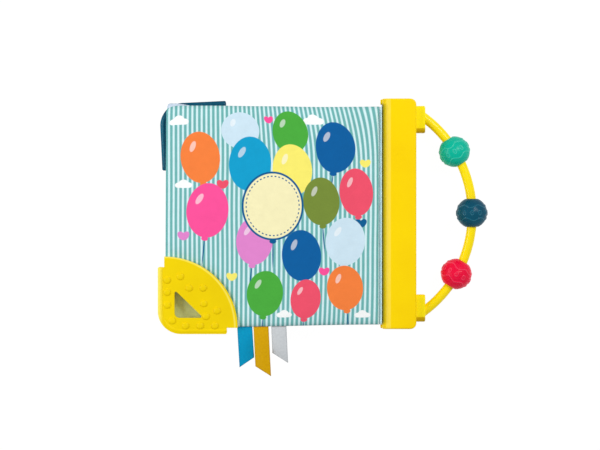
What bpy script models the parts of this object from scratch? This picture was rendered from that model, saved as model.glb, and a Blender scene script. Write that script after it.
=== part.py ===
# Crinkle cloth book: three padded cloth leaves clamped in a moulded spine bar,
# with a bead handle on the bar, a silicone teether on two corners and three ribbons.
# Metres, +Z up. The book lies on its back cover. The origin is the centre of the
# spine bar's rear face, +X points to the handle and +Y to the top of the page.

from math import cos, sin, sqrt, radians, asin, acos, degrees

import bpy
import bmesh
from mathutils import Matrix, Vector

# Clearances
FIT_GAP = 0.0003            # between pieces that touch on the real book
PARTING_GAP = 0.0003        # between the two shells of the bar
OVERRUN = 0.003             # how far a cutter runs past what it cuts
WELD_DISTANCE = 0.00001     # points closer than this become one

# Spine bar
BAR_WIDTH = 0.0226
BAR_LENGTH = 0.1520
BAR_HEIGHT = 0.0220
BAR_WALL = 0.0018
BAR_END_WALL = 0.0016
BAR_CORNER_RADIUS = 0.0036  # the right-hand corners, seen from the front
BAR_EDGE_RADIUS = 0.0012
BAR_LIP_HEIGHT = 0.0080     # upright face on the leaves' side, the mouth inside it
BAR_FLANK_RUN = 0.0057      # the flanks curve from the front and rear face to the lip
BAR_FLANK_FACETS = 4
END_LIP_REACH = 0.0009      # small lips at the bar's two ends, on the leaves' side
END_LIP_LENGTH = 0.0034
MOUTH_CLEARANCE = 0.0003    # between the stack of hems and the mouth

# Pegs that hold the leaves' hems, and the ribs that close on them
PEG_COUNT = 5
PEG_RADIUS = 0.0020
PEG_SPAN = 0.1160           # from the first peg to the last
PEG_FROM_MOUTH = 0.0076
PEG_TOP_LAND = 0.0030       # how far a peg stands into its socket
PEG_SOCKET_WALL = 0.0016
RIB_THICKNESS = 0.0013
RIB_FROM_MOUTH = 0.0022
RIB_END_SPACE = 0.0040

# Handle: a bent tube, its two sockets on the bar, and three beads
TUBE_RADIUS = 0.0029
HANDLE_REACH = 0.0362       # from the bar's right face to the tube's centre line
TUBE_END_INSET = 0.0056     # from the bar's right face to the tube's end, along X
COLLAR_RADIUS = 0.0040
COLLAR_THICKNESS = 0.0016
TUBE_POINTS = 31
SOCKET_REACH = 0.0060
SOCKET_FROM_END = 0.00473   # from the bar's end
SOCKET_LENGTH = 0.0180
SOCKET_DEPTH = 0.0120
SOCKET_EDGE_RADIUS = 0.0014
BEAD_RADIUS = 0.01015
BEAD_LENGTH = 0.0190
BEAD_EDGE_POINTS = 9
BEAD_SIDES = 24
BEAD_BORE_CLEARANCE = 0.0003
BEAD_PLACES = {"bead_green": 31.0, "bead_teal": 0.0, "bead_red": -29.7}

# Leaves: their cloth cases, seen from the front
LEAF_TOP = 0.0718           # the covers' upper edge above the bar's middle
LEAF_BOTTOM = 0.0747        # the covers' lower edge below the bar's middle
LEAF_LENGTH = 0.1389        # from the fold at the bar to the free edge
INNER_LEAF_RISE = 0.0016    # the inner leaf stands this much above the covers
INNER_LEAF_INSET = 0.0009   # and ends this much short of their free edge
COVER_THICKNESS = 0.0070
INNER_LEAF_THICKNESS = 0.0068
SEAM_WIDTH = 0.0030
SEAM_THICKNESS = 0.0016
PUFF_WIDTH = 0.0120         # over which the padding rises from the seam
FLAT_SHARE = 0.90           # of the padding's rise, at the puff's inner edge
ROOT_RAMP = 0.0180          # over which a leaf narrows to its hem at the bar
CASE_WALL = 0.0005
CASE_EDGE = 0.0020          # cloth between the seam and the hollow of the case
FILM_THICKNESS = 0.0003
FILLING_FROM_ROOT = 0.0045  # the wadding and the film end about here
FOLD_FROM_MOUTH = 0.0040    # the leaves' fold line, left of the bar's mouth
FOLD_WIDTH = 0.0004
FOLD_PITCH = 0.0046         # between the leaves' folds, wider than in the mouth
SPREAD_FROM_MOUTH = 0.0012  # where the hems begin to spread to that pitch
HEM_DEPTH = 0.0123          # how far the hems reach into the bar
HEM_SIDE_INSET = 0.0010

# Corner teethers
TEETHER_RADIUS = 0.0470
PLATE_THICKNESS = 0.0018
POCKET_GAP = 0.0003
WEB_THICKNESS = 0.0014      # of the cloth corner, pressed flat inside the pocket
TEETHER_EDGE_RADIUS = 0.0010
RIM_OVERHANG = 0.0041
RIM_END_FROM_ARC = 0.0070   # the rim stops this short of the arc, along each edge
RIM_CORNER_RADIUS = 0.0150
WINDOW_END_FROM_ARC = 0.0219
WINDOW_FROM_EDGE = 0.0066
WINDOW_CORNER_RADIUS = 0.0012
WINDOW_WALL = 0.0026
BUMP_RADIUS = 0.0023
BUMP_HEIGHT = 0.00075
TEETHER_PEG_RADIUS = 0.0015
TEETHER_PEG_ANGLES = (16.5, 45.0, 73.5)
TEETHER_ARC_POINTS = 17
CORNER_POINTS = 6

# Bumps of a teether, as shares of its radius along and up from the cloth's corner
BUMP_SHARES = (
    (0.04, 0.67), (0.04, 0.50), (0.04, 0.32), (0.11, 0.10),
    (0.29, 0.03), (0.49, 0.03), (0.69, 0.03),
    (0.22, 0.72), (0.34, 0.56), (0.53, 0.56), (0.54, 0.34), (0.72, 0.24), (0.57, 0.16),
)

# Ribbons sewn into the front cover's lower seam
RIBBON_WIDTH = 0.0100
RIBBON_THICKNESS = 0.0005
RIBBON_SPACING = 0.0113
RIBBON_FROM_TEETHER = 0.0004
RIBBON_SLANT = 0.0066       # the sheared end falls this much across the width
RIBBON_LEAN_SHARE = 0.07    # of its length, to the right
RIBBON_DROOP_SHARE = 0.20   # of its length, down at the tip
RIBBONS = {
    "ribbon_blue": {"length": 0.0229, "slant_side": -1, "colour": (0.0, 0.30, 0.58)},
    "ribbon_yellow": {"length": 0.0289, "slant_side": 1, "colour": (0.68, 0.38, 0.0)},
    "ribbon_white": {"length": 0.0200, "slant_side": 1, "colour": (0.58, 0.60, 0.62)},
}
RIBBON_LENGTH_STEPS = 8

# Sizes that follow from those above
MID_Z = BAR_HEIGHT / 2
MOUTH_X = -BAR_WIDTH / 2
FOLD_X = MOUTH_X - FOLD_FROM_MOUTH
HEM_END_X = FOLD_X + FOLD_WIDTH / 2
ROOT_X = FOLD_X - FOLD_WIDTH / 2
FREE_X = ROOT_X - LEAF_LENGTH
BUMP_REACH = SEAM_THICKNESS / 2 + POCKET_GAP + PLATE_THICKNESS + BUMP_HEIGHT
LEAF_PITCH = BUMP_REACH + FIT_GAP + INNER_LEAF_THICKNESS / 2
HEM_PITCH = SEAM_THICKNESS + FIT_GAP
MOUTH_HEIGHT = 3 * SEAM_THICKNESS + 2 * FIT_GAP + 2 * MOUTH_CLEARANCE
FOLD_RISE = FOLD_PITCH + SEAM_THICKNESS / 2 + FIT_GAP
UPPER_FOLD_Z = MID_Z + FOLD_RISE
LOWER_FOLD_Z = MID_Z - FOLD_RISE
RIM_LENGTH = TEETHER_RADIUS - RIM_END_FROM_ARC
WINDOW_LEG = TEETHER_RADIUS - WINDOW_FROM_EDGE - WINDOW_END_FROM_ARC
SOCKET_Y = BAR_LENGTH / 2 - SOCKET_FROM_END - SOCKET_LENGTH / 2
ARC_RISE = HANDLE_REACH - SOCKET_REACH
HANDLE_ARC_RADIUS = (SOCKET_Y ** 2 + ARC_RISE ** 2) / (2 * ARC_RISE)
ARC_CENTRE_X = BAR_WIDTH / 2 + HANDLE_REACH - HANDLE_ARC_RADIUS
TUBE_END_ANGLE = acos((BAR_WIDTH / 2 - TUBE_END_INSET - ARC_CENTRE_X) / HANDLE_ARC_RADIUS)

LEAVES = {
    "back_cover": {"level": -1, "thickness": COVER_THICKNESS, "rise": 0.0, "inset": 0.0,
                   "teether": "top", "colour": (0.42, 0.72, 0.70)},
    "inner_leaf": {"level": 0, "thickness": INNER_LEAF_THICKNESS, "rise": INNER_LEAF_RISE,
                   "inset": INNER_LEAF_INSET, "teether": None, "colour": (0.60, 0.56, 0.80)},
    "front_cover": {"level": 1, "thickness": COVER_THICKNESS, "rise": 0.0, "inset": 0.0,
                    "teether": "bottom", "colour": (0.42, 0.80, 0.78)},
}


def empty_scene():
    for obj in list(bpy.data.objects):
        bpy.data.objects.remove(obj, do_unlink=True)


def new_collection(name):
    collection = bpy.data.collections.new(name)
    bpy.context.scene.collection.children.link(collection)
    return collection


def plain_material(name, colour, roughness, metallic=0.0):
    material = bpy.data.materials.new(name)
    material.use_nodes = True
    shader = material.node_tree.nodes["Principled BSDF"]
    shader.inputs["Base Color"].default_value = (*colour, 1.0)
    shader.inputs["Roughness"].default_value = roughness
    shader.inputs["Metallic"].default_value = metallic
    material.diffuse_color = (*colour, 1.0)
    return material


def to_object(name, bm, collection):
    bmesh.ops.recalc_face_normals(bm, faces=bm.faces[:])
    mesh = bpy.data.meshes.new(name)
    bm.to_mesh(mesh)
    bm.free()
    obj = bpy.data.objects.new(name, mesh)
    collection.objects.link(obj)
    return obj


def as_cutter(obj):
    obj.hide_render = True
    obj.display_type = "WIRE"
    return obj


def boolean(obj, other, operation):
    modifier = obj.modifiers.new(operation.lower() + "_" + other.name, "BOOLEAN")
    modifier.operation = operation
    modifier.object = other
    modifier.solver = "EXACT"
    return modifier


def round_edges(obj, width, segments=2, angle=35.0):
    modifier = obj.modifiers.new("rounded_edges", "BEVEL")
    modifier.width = width
    modifier.segments = segments
    modifier.limit_method = "ANGLE"
    modifier.angle_limit = radians(angle)
    modifier.use_clamp_overlap = True
    return modifier


def put_on_pivot(obj, pivot):
    # keep the piece where it is and move its origin to the pivot
    bpy.context.view_layer.update()
    obj.data.transform(pivot.matrix_world.inverted() @ obj.matrix_world)
    obj.parent = pivot
    obj.matrix_basis = Matrix.Identity(4)


def new_pivot(name, place, collection, parent=None, turn=0.0):
    pivot = bpy.data.objects.new(name, None)
    pivot.empty_display_size = BEAD_RADIUS
    collection.objects.link(pivot)
    pivot.parent = parent
    pivot.location = Vector(place) - (parent.location if parent else Vector())
    pivot.rotation_euler.z = turn
    bpy.context.view_layer.update()
    return pivot


def add_box(bm, low, high):
    low, high = Vector(low), Vector(high)
    made = bmesh.ops.create_cube(bm, size=1)["verts"]
    bmesh.ops.scale(bm, verts=made, vec=high - low)
    bmesh.ops.translate(bm, verts=made, vec=(low + high) / 2)


def add_cylinder(bm, radius, low, high, sides=16):
    # a round bar between two points
    low, high = Vector(low), Vector(high)
    made = bmesh.ops.create_cone(bm, cap_ends=True, segments=sides, radius1=radius,
                                 radius2=radius, depth=(high - low).length)["verts"]
    turn = (high - low).to_track_quat("Z", "Y").to_matrix()
    bmesh.ops.rotate(bm, verts=made, cent=Vector(), matrix=turn)
    bmesh.ops.translate(bm, verts=made, vec=(low + high) / 2)


def outline_solid(name, points, half_thickness, collection):
    # a flat outline as a filled 2D curve, made into a welded mesh
    curve = bpy.data.curves.new(name + "_outline", "CURVE")
    curve.dimensions = "2D"
    curve.fill_mode = "BOTH"
    curve.extrude = half_thickness
    spline = curve.splines.new("POLY")
    spline.points.add(len(points) - 1)
    for point, (x, y) in zip(spline.points, points):
        point.co = (x, y, 0.0, 1.0)
    spline.use_cyclic_u = True
    return curve_to_mesh(name, curve, collection)


def curve_to_mesh(name, curve, collection):
    guide = bpy.data.objects.new(name + "_guide", curve)
    bpy.context.scene.collection.objects.link(guide)
    bpy.context.view_layer.update()
    evaluated = guide.evaluated_get(bpy.context.evaluated_depsgraph_get())
    bm = bmesh.new()
    bm.from_mesh(bpy.data.meshes.new_from_object(evaluated))
    bmesh.ops.remove_doubles(bm, verts=bm.verts[:], dist=WELD_DISTANCE)
    obj = to_object(name, bm, collection)
    obj.matrix_world = guide.matrix_world.copy()
    bpy.data.objects.remove(guide, do_unlink=True)
    return obj


def smooth_step(share):
    share = min(max(share, 0.0), 1.0)
    return share * share * (3 - 2 * share)


def finish_piece(obj, colour, roughness, metallic=0.0, smooth_angle=40.0):
    obj.data.materials.clear()
    obj.data.materials.append(plain_material(obj.name + "_finish", colour, roughness, metallic))
    obj.data.shade_smooth()
    obj.data.set_sharp_from_angle(angle=radians(smooth_angle))


# Spine bar

def bar_form(bm, side_inset, end_inset):
    # a long block whose two edges on the leaves' side are cut away to rounded flanks
    add_box(bm,
            (-BAR_WIDTH / 2 + side_inset, -BAR_LENGTH / 2 + end_inset, side_inset),
            (BAR_WIDTH / 2 - side_inset, BAR_LENGTH / 2 - end_inset, BAR_HEIGHT - side_inset))
    drop = (BAR_HEIGHT - BAR_LIP_HEIGHT) / 2
    curve = [(BAR_FLANK_RUN * (1 - sin(radians(90 * i / BAR_FLANK_FACETS))),
              drop * cos(radians(90 * i / BAR_FLANK_FACETS))) for i in range(BAR_FLANK_FACETS + 1)]
    for side in (1, -1):
        for (near_x, near_z), (far_x, far_z) in zip(curve, curve[1:]):
            outward = Vector((far_z - near_z, 0, side * (near_x - far_x))).normalized()
            edge = Vector((MOUTH_X + far_x, 0, MID_Z + side * (BAR_LIP_HEIGHT / 2 + far_z)))
            bmesh.ops.bisect_plane(bm, geom=bm.verts[:] + bm.edges[:] + bm.faces[:],
                                   plane_co=edge - outward * side_inset, plane_no=outward,
                                   clear_outer=True)
            bmesh.ops.holes_fill(bm, edges=[e for e in bm.edges if e.is_boundary])


def bar_outside(name, collection):
    bm = bmesh.new()
    bar_form(bm, 0.0, 0.0)
    right_corners = [e for e in bm.edges
                     if all(v.co.x > BAR_WIDTH / 2 - BAR_WALL for v in e.verts)
                     and abs(e.verts[0].co.z - e.verts[1].co.z) > BAR_WALL]
    bmesh.ops.bevel(bm, geom=right_corners, offset=BAR_CORNER_RADIUS, segments=3,
                    affect="EDGES", profile=0.5)
    obj = to_object(name, bm, collection)
    round_edges(obj, BAR_EDGE_RADIUS)
    return obj


def handle_curve(name, radius, end_angle, points):
    curve = bpy.data.curves.new(name, "CURVE")
    curve.dimensions = "3D"
    curve.bevel_depth = radius
    curve.bevel_resolution = 4
    curve.use_fill_caps = True
    spline = curve.splines.new("POLY")
    spline.points.add(points - 1)
    for index, point in enumerate(spline.points):
        angle = -end_angle + 2 * end_angle * index / (points - 1)
        point.co = (ARC_CENTRE_X + HANDLE_ARC_RADIUS * cos(angle),
                    HANDLE_ARC_RADIUS * sin(angle), MID_Z, 1.0)
    return curve


def spine_bar(parts, cutters):
    sockets = bmesh.new()
    for side in (1, -1):
        add_box(sockets,
                (BAR_WIDTH / 2 - BAR_WALL, side * SOCKET_Y - SOCKET_LENGTH / 2, MID_Z - SOCKET_DEPTH / 2),
                (BAR_WIDTH / 2 + SOCKET_REACH, side * SOCKET_Y + SOCKET_LENGTH / 2, MID_Z + SOCKET_DEPTH / 2))
    sockets = as_cutter(to_object("socket_blocks", sockets, cutters))
    round_edges(sockets, SOCKET_EDGE_RADIUS)

    lips = bmesh.new()
    lip_half = (BAR_LIP_HEIGHT - END_LIP_REACH) / 2
    for side in (1, -1):
        end_y = side * (BAR_LENGTH / 2 - BAR_EDGE_RADIUS / 2)
        inner_y = end_y - side * END_LIP_LENGTH
        add_box(lips, (MOUTH_X - END_LIP_REACH, min(end_y, inner_y), MID_Z - lip_half),
                (MOUTH_X + BAR_WALL / 2, max(end_y, inner_y), MID_Z + lip_half))
    lips = as_cutter(to_object("end_lip_blocks", lips, cutters))
    round_edges(lips, END_LIP_REACH / 2)

    hollow = bmesh.new()
    bar_form(hollow, BAR_WALL, BAR_END_WALL)
    hollow = as_cutter(to_object("bar_hollow", hollow, cutters))

    mouth = bmesh.new()
    mouth_end = BAR_LENGTH / 2 - BAR_END_WALL
    add_box(mouth, (MOUTH_X - OVERRUN, -mouth_end, MID_Z - MOUTH_HEIGHT / 2),
            (MOUTH_X + BAR_WALL + OVERRUN, mouth_end, MID_Z + MOUTH_HEIGHT / 2))
    mouth = as_cutter(to_object("mouth_slot", mouth, cutters))

    bore_angle = TUBE_END_ANGLE + FIT_GAP / HANDLE_ARC_RADIUS
    bore = as_cutter(curve_to_mesh(
        "handle_bore", handle_curve("handle_bore_path", TUBE_RADIUS + FIT_GAP, bore_angle, TUBE_POINTS),
        cutters))

    # the ribs and sockets inside end halfway into the bar's wall
    core = bmesh.new()
    bar_form(core, BAR_WALL / 2, BAR_END_WALL / 2)
    core = as_cutter(to_object("bar_core", core, cutters))

    stack_half = MOUTH_HEIGHT / 2
    peg_x = MOUTH_X + PEG_FROM_MOUTH
    rib_x = MOUTH_X + RIB_FROM_MOUTH
    rib_end = BAR_LENGTH / 2 - BAR_END_WALL - RIB_END_SPACE
    peg_places = [PEG_SPAN * (i / (PEG_COUNT - 1) - 0.5) for i in range(PEG_COUNT)]

    rear_inside = bmesh.new()
    add_box(rear_inside, (rib_x, -rib_end, 0.0),
            (rib_x + RIB_THICKNESS, rib_end, MID_Z - stack_half))
    for y in peg_places:
        add_cylinder(rear_inside, PEG_RADIUS, (peg_x, y, 0.0),
                     (peg_x, y, MID_Z + stack_half + PEG_TOP_LAND))
    rear_inside = as_cutter(to_object("rear_rib_and_pegs", rear_inside, cutters))
    boolean(rear_inside, core, "INTERSECT")

    front_inside = bmesh.new()
    add_box(front_inside, (rib_x, -rib_end, MID_Z + stack_half),
            (rib_x + RIB_THICKNESS, rib_end, BAR_HEIGHT))
    for y in peg_places:
        add_cylinder(front_inside, PEG_RADIUS + FIT_GAP + PEG_SOCKET_WALL,
                     (peg_x, y, MID_Z + stack_half), (peg_x, y, BAR_HEIGHT))
    front_inside = as_cutter(to_object("front_rib_and_sockets", front_inside, cutters))
    boolean(front_inside, core, "INTERSECT")

    peg_bores = bmesh.new()
    for y in peg_places:
        add_cylinder(peg_bores, PEG_RADIUS + FIT_GAP, (peg_x, y, MID_Z),
                     (peg_x, y, MID_Z + stack_half + PEG_TOP_LAND + FIT_GAP))
    peg_bores = as_cutter(to_object("peg_bores", peg_bores, cutters))

    half_reach = BAR_WIDTH + SOCKET_REACH
    halves = {}
    for name, low_z, high_z in (
            ("front_half_space", -OVERRUN, MID_Z + PARTING_GAP / 2),
            ("rear_half_space", MID_Z - PARTING_GAP / 2, BAR_HEIGHT + OVERRUN)):
        bm = bmesh.new()
        add_box(bm, (-half_reach, -BAR_LENGTH, low_z), (half_reach, BAR_LENGTH, high_z))
        halves[name] = as_cutter(to_object(name, bm, cutters))

    yellow = (0.95, 0.67, 0.004)
    for name, half, inside in (
            ("spine_front_shell", halves["front_half_space"], front_inside),
            ("spine_rear_shell", halves["rear_half_space"], rear_inside)):
        shell = bar_outside(name, parts)
        boolean(shell, lips, "UNION")
        boolean(shell, sockets, "UNION")
        boolean(shell, hollow, "DIFFERENCE")
        boolean(shell, mouth, "DIFFERENCE")
        boolean(shell, bore, "DIFFERENCE")
        boolean(shell, half, "DIFFERENCE")
        boolean(shell, inside, "UNION")
        if name == "spine_front_shell":
            boolean(shell, peg_bores, "DIFFERENCE")
        finish_piece(shell, yellow, 0.25)
    return peg_x, peg_places


def handle(parts, cutters):
    tube = curve_to_mesh(
        "handle_tube", handle_curve("handle_path", TUBE_RADIUS, TUBE_END_ANGLE, TUBE_POINTS), parts)
    collars = bmesh.new()
    thickness_angle = COLLAR_THICKNESS / HANDLE_ARC_RADIUS
    for side in (1, -1):
        ends = []
        for angle in (TUBE_END_ANGLE - thickness_angle, TUBE_END_ANGLE + thickness_angle / 4):
            ends.append(Vector((ARC_CENTRE_X + HANDLE_ARC_RADIUS * cos(side * angle),
                                HANDLE_ARC_RADIUS * sin(side * angle), MID_Z)))
        add_cylinder(collars, COLLAR_RADIUS, ends[0], ends[1])
    collars = as_cutter(to_object("tube_collars", collars, cutters))
    boolean(tube, collars, "UNION")
    finish_piece(tube, (0.95, 0.70, 0.01), 0.25)


def bead_profile():
    # the outer side top to bottom, then back up the bore
    sag = HANDLE_ARC_RADIUS - sqrt(HANDLE_ARC_RADIUS ** 2 - (BEAD_LENGTH / 2) ** 2)
    bore = TUBE_RADIUS + sag / 2 + BEAD_BORE_CLEARANCE
    pole = asin(BEAD_LENGTH / 2 / BEAD_RADIUS)
    outer = []
    for index in range(BEAD_EDGE_POINTS):
        angle = pole * (1 - 2 * index / (BEAD_EDGE_POINTS - 1))
        outer.append((BEAD_RADIUS * cos(angle), BEAD_RADIUS * sin(angle)))
    face_radius = outer[0][0]
    bore = min(bore, face_radius - FIT_GAP / 3)
    return [(bore, BEAD_LENGTH / 2)] + outer + [(bore, -BEAD_LENGTH / 2)], sag / 2


def beads(parts, guides):
    colours = {"bead_green": (0.0, 0.48, 0.30), "bead_teal": (0.0, 0.08, 0.14),
               "bead_red": (0.85, 0.0, 0.04)}
    profile, offset = bead_profile()
    for name, place in BEAD_PLACES.items():
        pivot = new_pivot(name + "_pivot", (ARC_CENTRE_X, 0.0, MID_Z), guides, turn=radians(place))
        bm = bmesh.new()
        verts = [bm.verts.new((x, 0.0, z)) for x, z in profile]
        for first, second in zip(verts, verts[1:] + verts[:1]):
            bm.edges.new((first, second))
        mesh = bpy.data.meshes.new(name)
        bm.to_mesh(mesh)
        bm.free()
        bead = bpy.data.objects.new(name, mesh)
        parts.objects.link(bead)
        screw = bead.modifiers.new("turned", "SCREW")
        screw.steps = BEAD_SIDES
        screw.render_steps = BEAD_SIDES
        screw.use_merge_vertices = True
        screw.merge_threshold = WELD_DISTANCE
        screw.use_normal_calculate = True
        bead.parent = pivot
        bead.location = (HANDLE_ARC_RADIUS - offset, 0.0, 0.0)
        bead.rotation_euler = (radians(90), 0.0, 0.0)
        bead.data.materials.append(plain_material(name + "_finish", colours[name], 0.25))


# Leaves

def leaf_places(leaf):
    # edges of a leaf, and the height of its middle plane at the page, the fold and the hem
    return {
        "free": FREE_X + leaf["inset"],
        "top": LEAF_TOP + leaf["rise"],
        "bottom": -LEAF_BOTTOM,
        "page_z": MID_Z + leaf["level"] * LEAF_PITCH,
        "fold_z": MID_Z + leaf["level"] * FOLD_PITCH,
        "hem_z": MID_Z + leaf["level"] * HEM_PITCH,
    }


def page_middle(x, places):
    share = smooth_step((ROOT_X - x) / ROOT_RAMP)
    return places["fold_z"] + (places["page_z"] - places["fold_z"]) * share


def page_half(x, y, places, thickness):
    # half the leaf's thickness: thin at the seams and the bar, crowned in the middle
    seam = SEAM_THICKNESS / 2
    edge = min(x - places["free"], places["top"] - y, y - places["bottom"])
    puff = min(max((edge - SEAM_WIDTH) / PUFF_WIDTH, 0.0), 1.0)
    rise = sqrt(1 - (1 - puff) ** 2)
    along = (x - places["free"]) / (ROOT_X - places["free"])
    across = (y - places["bottom"]) / (places["top"] - places["bottom"])
    crown = FLAT_SHARE + (1 - FLAT_SHARE) * sin(radians(180) * along) * sin(radians(180) * across)
    root = smooth_step((ROOT_X - x) / ROOT_RAMP)
    return seam + (thickness / 2 - seam) * rise * crown * root


def stations(low, high, low_shares, high_shares, low_width, high_width, middle):
    # places of grid lines, close together at both ends
    first = [low + share * low_width for share in low_shares]
    last = [high - share * high_width for share in reversed(high_shares)]
    inner = [first[-1] + (last[0] - first[-1]) * i / middle for i in range(1, middle)]
    return first + inner + last


def add_sheet(bm, xs, ys, upper, lower):
    # a grid over the stations, extruded to two faces that follow two height formulas
    made = bmesh.ops.create_grid(bm, x_segments=len(xs) - 1, y_segments=len(ys) - 1, size=1)["verts"]
    columns, rows = len(xs) - 1, len(ys) - 1
    for vert in made:
        vert.co.x = xs[round((vert.co.x + 1) / 2 * columns)]
        vert.co.y = ys[round((vert.co.y + 1) / 2 * rows)]
    faces = list({face for vert in made for face in vert.link_faces})
    extruded = bmesh.ops.extrude_face_region(bm, geom=faces)["geom"]
    top = [item for item in extruded if isinstance(item, bmesh.types.BMVert)]
    for vert in made:
        vert.co.z = lower(vert.co.x, vert.co.y)
    for vert in top:
        vert.co.z = upper(vert.co.x, vert.co.y)


def leaf_stations(places, edge_inset, root_end, fine):
    seam_shares = (0.0, SEAM_WIDTH / (SEAM_WIDTH + PUFF_WIDTH), 0.30, 0.52, 1.0)
    root_shares = (0.0, 0.2, 0.4, 0.6, 0.8, 1.0)
    width = SEAM_WIDTH + PUFF_WIDTH - edge_inset
    if not fine:
        seam_shares = (0.0, 0.16, 0.42, 1.0)
        root_shares = (0.0, 0.33, 0.66, 1.0)
    xs = stations(places["free"] + edge_inset, root_end, seam_shares, root_shares,
                  width, root_end - (ROOT_X - ROOT_RAMP), 4)
    ys = stations(places["bottom"] + edge_inset, places["top"] - edge_inset,
                  seam_shares, seam_shares, width, width, 4)
    return xs, ys


def teether_frame(kind, places):
    # the cloth corner that a teether sits on, and the direction of "up" from it
    if kind == "bottom":
        return Vector((places["free"], places["bottom"], 0.0)), 1
    return Vector((places["free"], places["top"], 0.0)), -1


def arc_points(centre, radius, start, end, count):
    return [(centre[0] + radius * cos(radians(start + (end - start) * i / (count - 1))),
             centre[1] + radius * sin(radians(start + (end - start) * i / (count - 1))))
            for i in range(count)]


def teether_outline():
    # quarter disc on the cloth, and the rim that stands proud of the cloth's two edges
    corner = RIM_CORNER_RADIUS - RIM_OVERHANG
    points = arc_points((0.0, 0.0), TEETHER_RADIUS, 90, 0, TEETHER_ARC_POINTS)
    points += [(RIM_LENGTH, 0.0), (RIM_LENGTH, -RIM_OVERHANG)]
    points += arc_points((corner, corner), RIM_CORNER_RADIUS, 270, 180, CORNER_POINTS)
    points += [(-RIM_OVERHANG, RIM_LENGTH), (0.0, RIM_LENGTH)]
    return points


def window_outline():
    # a right-angled triangle with rounded corners
    radius = WINDOW_CORNER_RADIUS
    low = WINDOW_FROM_EDGE
    leg = WINDOW_LEG
    reach = radius / sin(radians(22.5)) * cos(radians(22.5))
    points = arc_points((low + radius, low + radius), radius, 270, 180, CORNER_POINTS // 2)
    points += arc_points((low + radius, low + leg - reach), radius, 180, 45, CORNER_POINTS)
    points += arc_points((low + leg - reach, low + radius), radius, 45, -90, CORNER_POINTS)
    return points


def slanting_wall(gap):
    # where the cloth side of the wall behind the window meets the cloth's two edges
    return WINDOW_FROM_EDGE * 2 + WINDOW_LEG + (WINDOW_WALL - gap) * sqrt(2)


def pocket_outline():
    gap = POCKET_GAP
    wall = slanting_wall(gap)
    far = TEETHER_RADIUS + OVERRUN
    return [(-gap, wall + gap), (wall + gap, -gap), (far, -gap), (far, far), (-gap, far)]


def corner_cut_outline():
    # the cloth's corner ends at that wall
    end = slanting_wall(0.0) + OVERRUN
    return [(-OVERRUN, -OVERRUN), (end, -OVERRUN), (-OVERRUN, end)]


def place_on_corner(obj, corner, up, z):
    obj.data.transform(Matrix.Translation((corner.x, corner.y, z)) @ Matrix.Diagonal((1, up, 1, 1)))
    if up < 0:
        obj.data.flip_normals()


def peg_mesh(radius, half_height):
    # pegs midway between the slanting wall and the arc
    bm = bmesh.new()
    for angle in TEETHER_PEG_ANGLES:
        across, up = cos(radians(angle)), sin(radians(angle))
        reach = (slanting_wall(0.0) / (across + up) + TEETHER_RADIUS) / 2
        add_cylinder(bm, radius, (reach * across, reach * up, -half_height),
                     (reach * across, reach * up, half_height), sides=10)
    return bm


def teether(name, leaf, colour, pivot, parts, cutters):
    places = leaf_places(leaf)
    corner, up = teether_frame(leaf["teether"], places)
    pocket_half = SEAM_THICKNESS / 2 + POCKET_GAP
    plate_half = pocket_half + PLATE_THICKNESS
    bump_half = plate_half + BUMP_HEIGHT

    body = outline_solid(name, teether_outline(), plate_half, parts)
    bumps = bmesh.new()
    bump_seat = BUMP_HEIGHT / 3
    for share_x, share_y in BUMP_SHARES:
        for side in (1, -1):
            made = bmesh.ops.create_uvsphere(bumps, u_segments=10, v_segments=6, radius=1)["verts"]
            bmesh.ops.scale(bumps, verts=made, vec=(BUMP_RADIUS, BUMP_RADIUS, BUMP_HEIGHT + bump_seat))
            bmesh.ops.translate(bumps, verts=made,
                                vec=(share_x * TEETHER_RADIUS, share_y * TEETHER_RADIUS,
                                     side * (plate_half - bump_seat)))
    bumps = to_object(name + "_bumps", bumps, cutters)
    window = outline_solid(name + "_window", window_outline(), bump_half + OVERRUN, cutters)
    pocket = outline_solid(name + "_pocket", pocket_outline(), pocket_half, cutters)
    pegs = to_object(name + "_pegs", peg_mesh(TEETHER_PEG_RADIUS, bump_half), cutters)

    for obj in (body, bumps, window, pocket, pegs):
        place_on_corner(obj, corner, up, places["page_z"])
    for obj in (bumps, window, pocket, pegs):
        as_cutter(obj)
    round_edges(body, TEETHER_EDGE_RADIUS)
    boolean(pocket, pegs, "DIFFERENCE")
    boolean(body, window, "DIFFERENCE")
    boolean(body, bumps, "UNION")
    boolean(body, pocket, "DIFFERENCE")
    finish_piece(body, colour, 0.45)
    put_on_pivot(body, pivot)


def plate_cutters(name, places, kind, cutters):
    # what a leaf gives up to its teether: room above and below the web, the corner and the peg holes
    corner, up = teether_frame(kind, places)
    pocket_half = SEAM_THICKNESS / 2 + POCKET_GAP
    web_half = WEB_THICKNESS / 2
    disc_radius = TEETHER_RADIUS + FIT_GAP
    discs = bmesh.new()
    for side in (1, -1):
        add_cylinder(discs, disc_radius, (0.0, 0.0, side * web_half),
                     (0.0, 0.0, side * (COVER_THICKNESS + OVERRUN)), sides=4 * (TEETHER_ARC_POINTS - 1))
    discs = to_object(name + "_plate_room", discs, cutters)
    corner_block = outline_solid(name + "_corner_cut", corner_cut_outline(), pocket_half + OVERRUN, cutters)
    holes = to_object(name + "_peg_holes",
                      peg_mesh(TEETHER_PEG_RADIUS + POCKET_GAP, pocket_half + OVERRUN), cutters)
    for obj in (discs, corner_block, holes):
        place_on_corner(obj, corner, up, places["page_z"])
        as_cutter(obj)
    return discs, corner_block, holes


def corner_disc(name, places, kind, radius, cutters):
    corner, up = teether_frame(kind, places)
    bm = bmesh.new()
    add_cylinder(bm, radius, (0.0, 0.0, -COVER_THICKNESS), (0.0, 0.0, COVER_THICKNESS),
                 sides=2 * (TEETHER_ARC_POINTS - 1))
    disc = to_object(name, bm, cutters)
    place_on_corner(disc, corner, up, places["page_z"])
    return as_cutter(disc)


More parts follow.
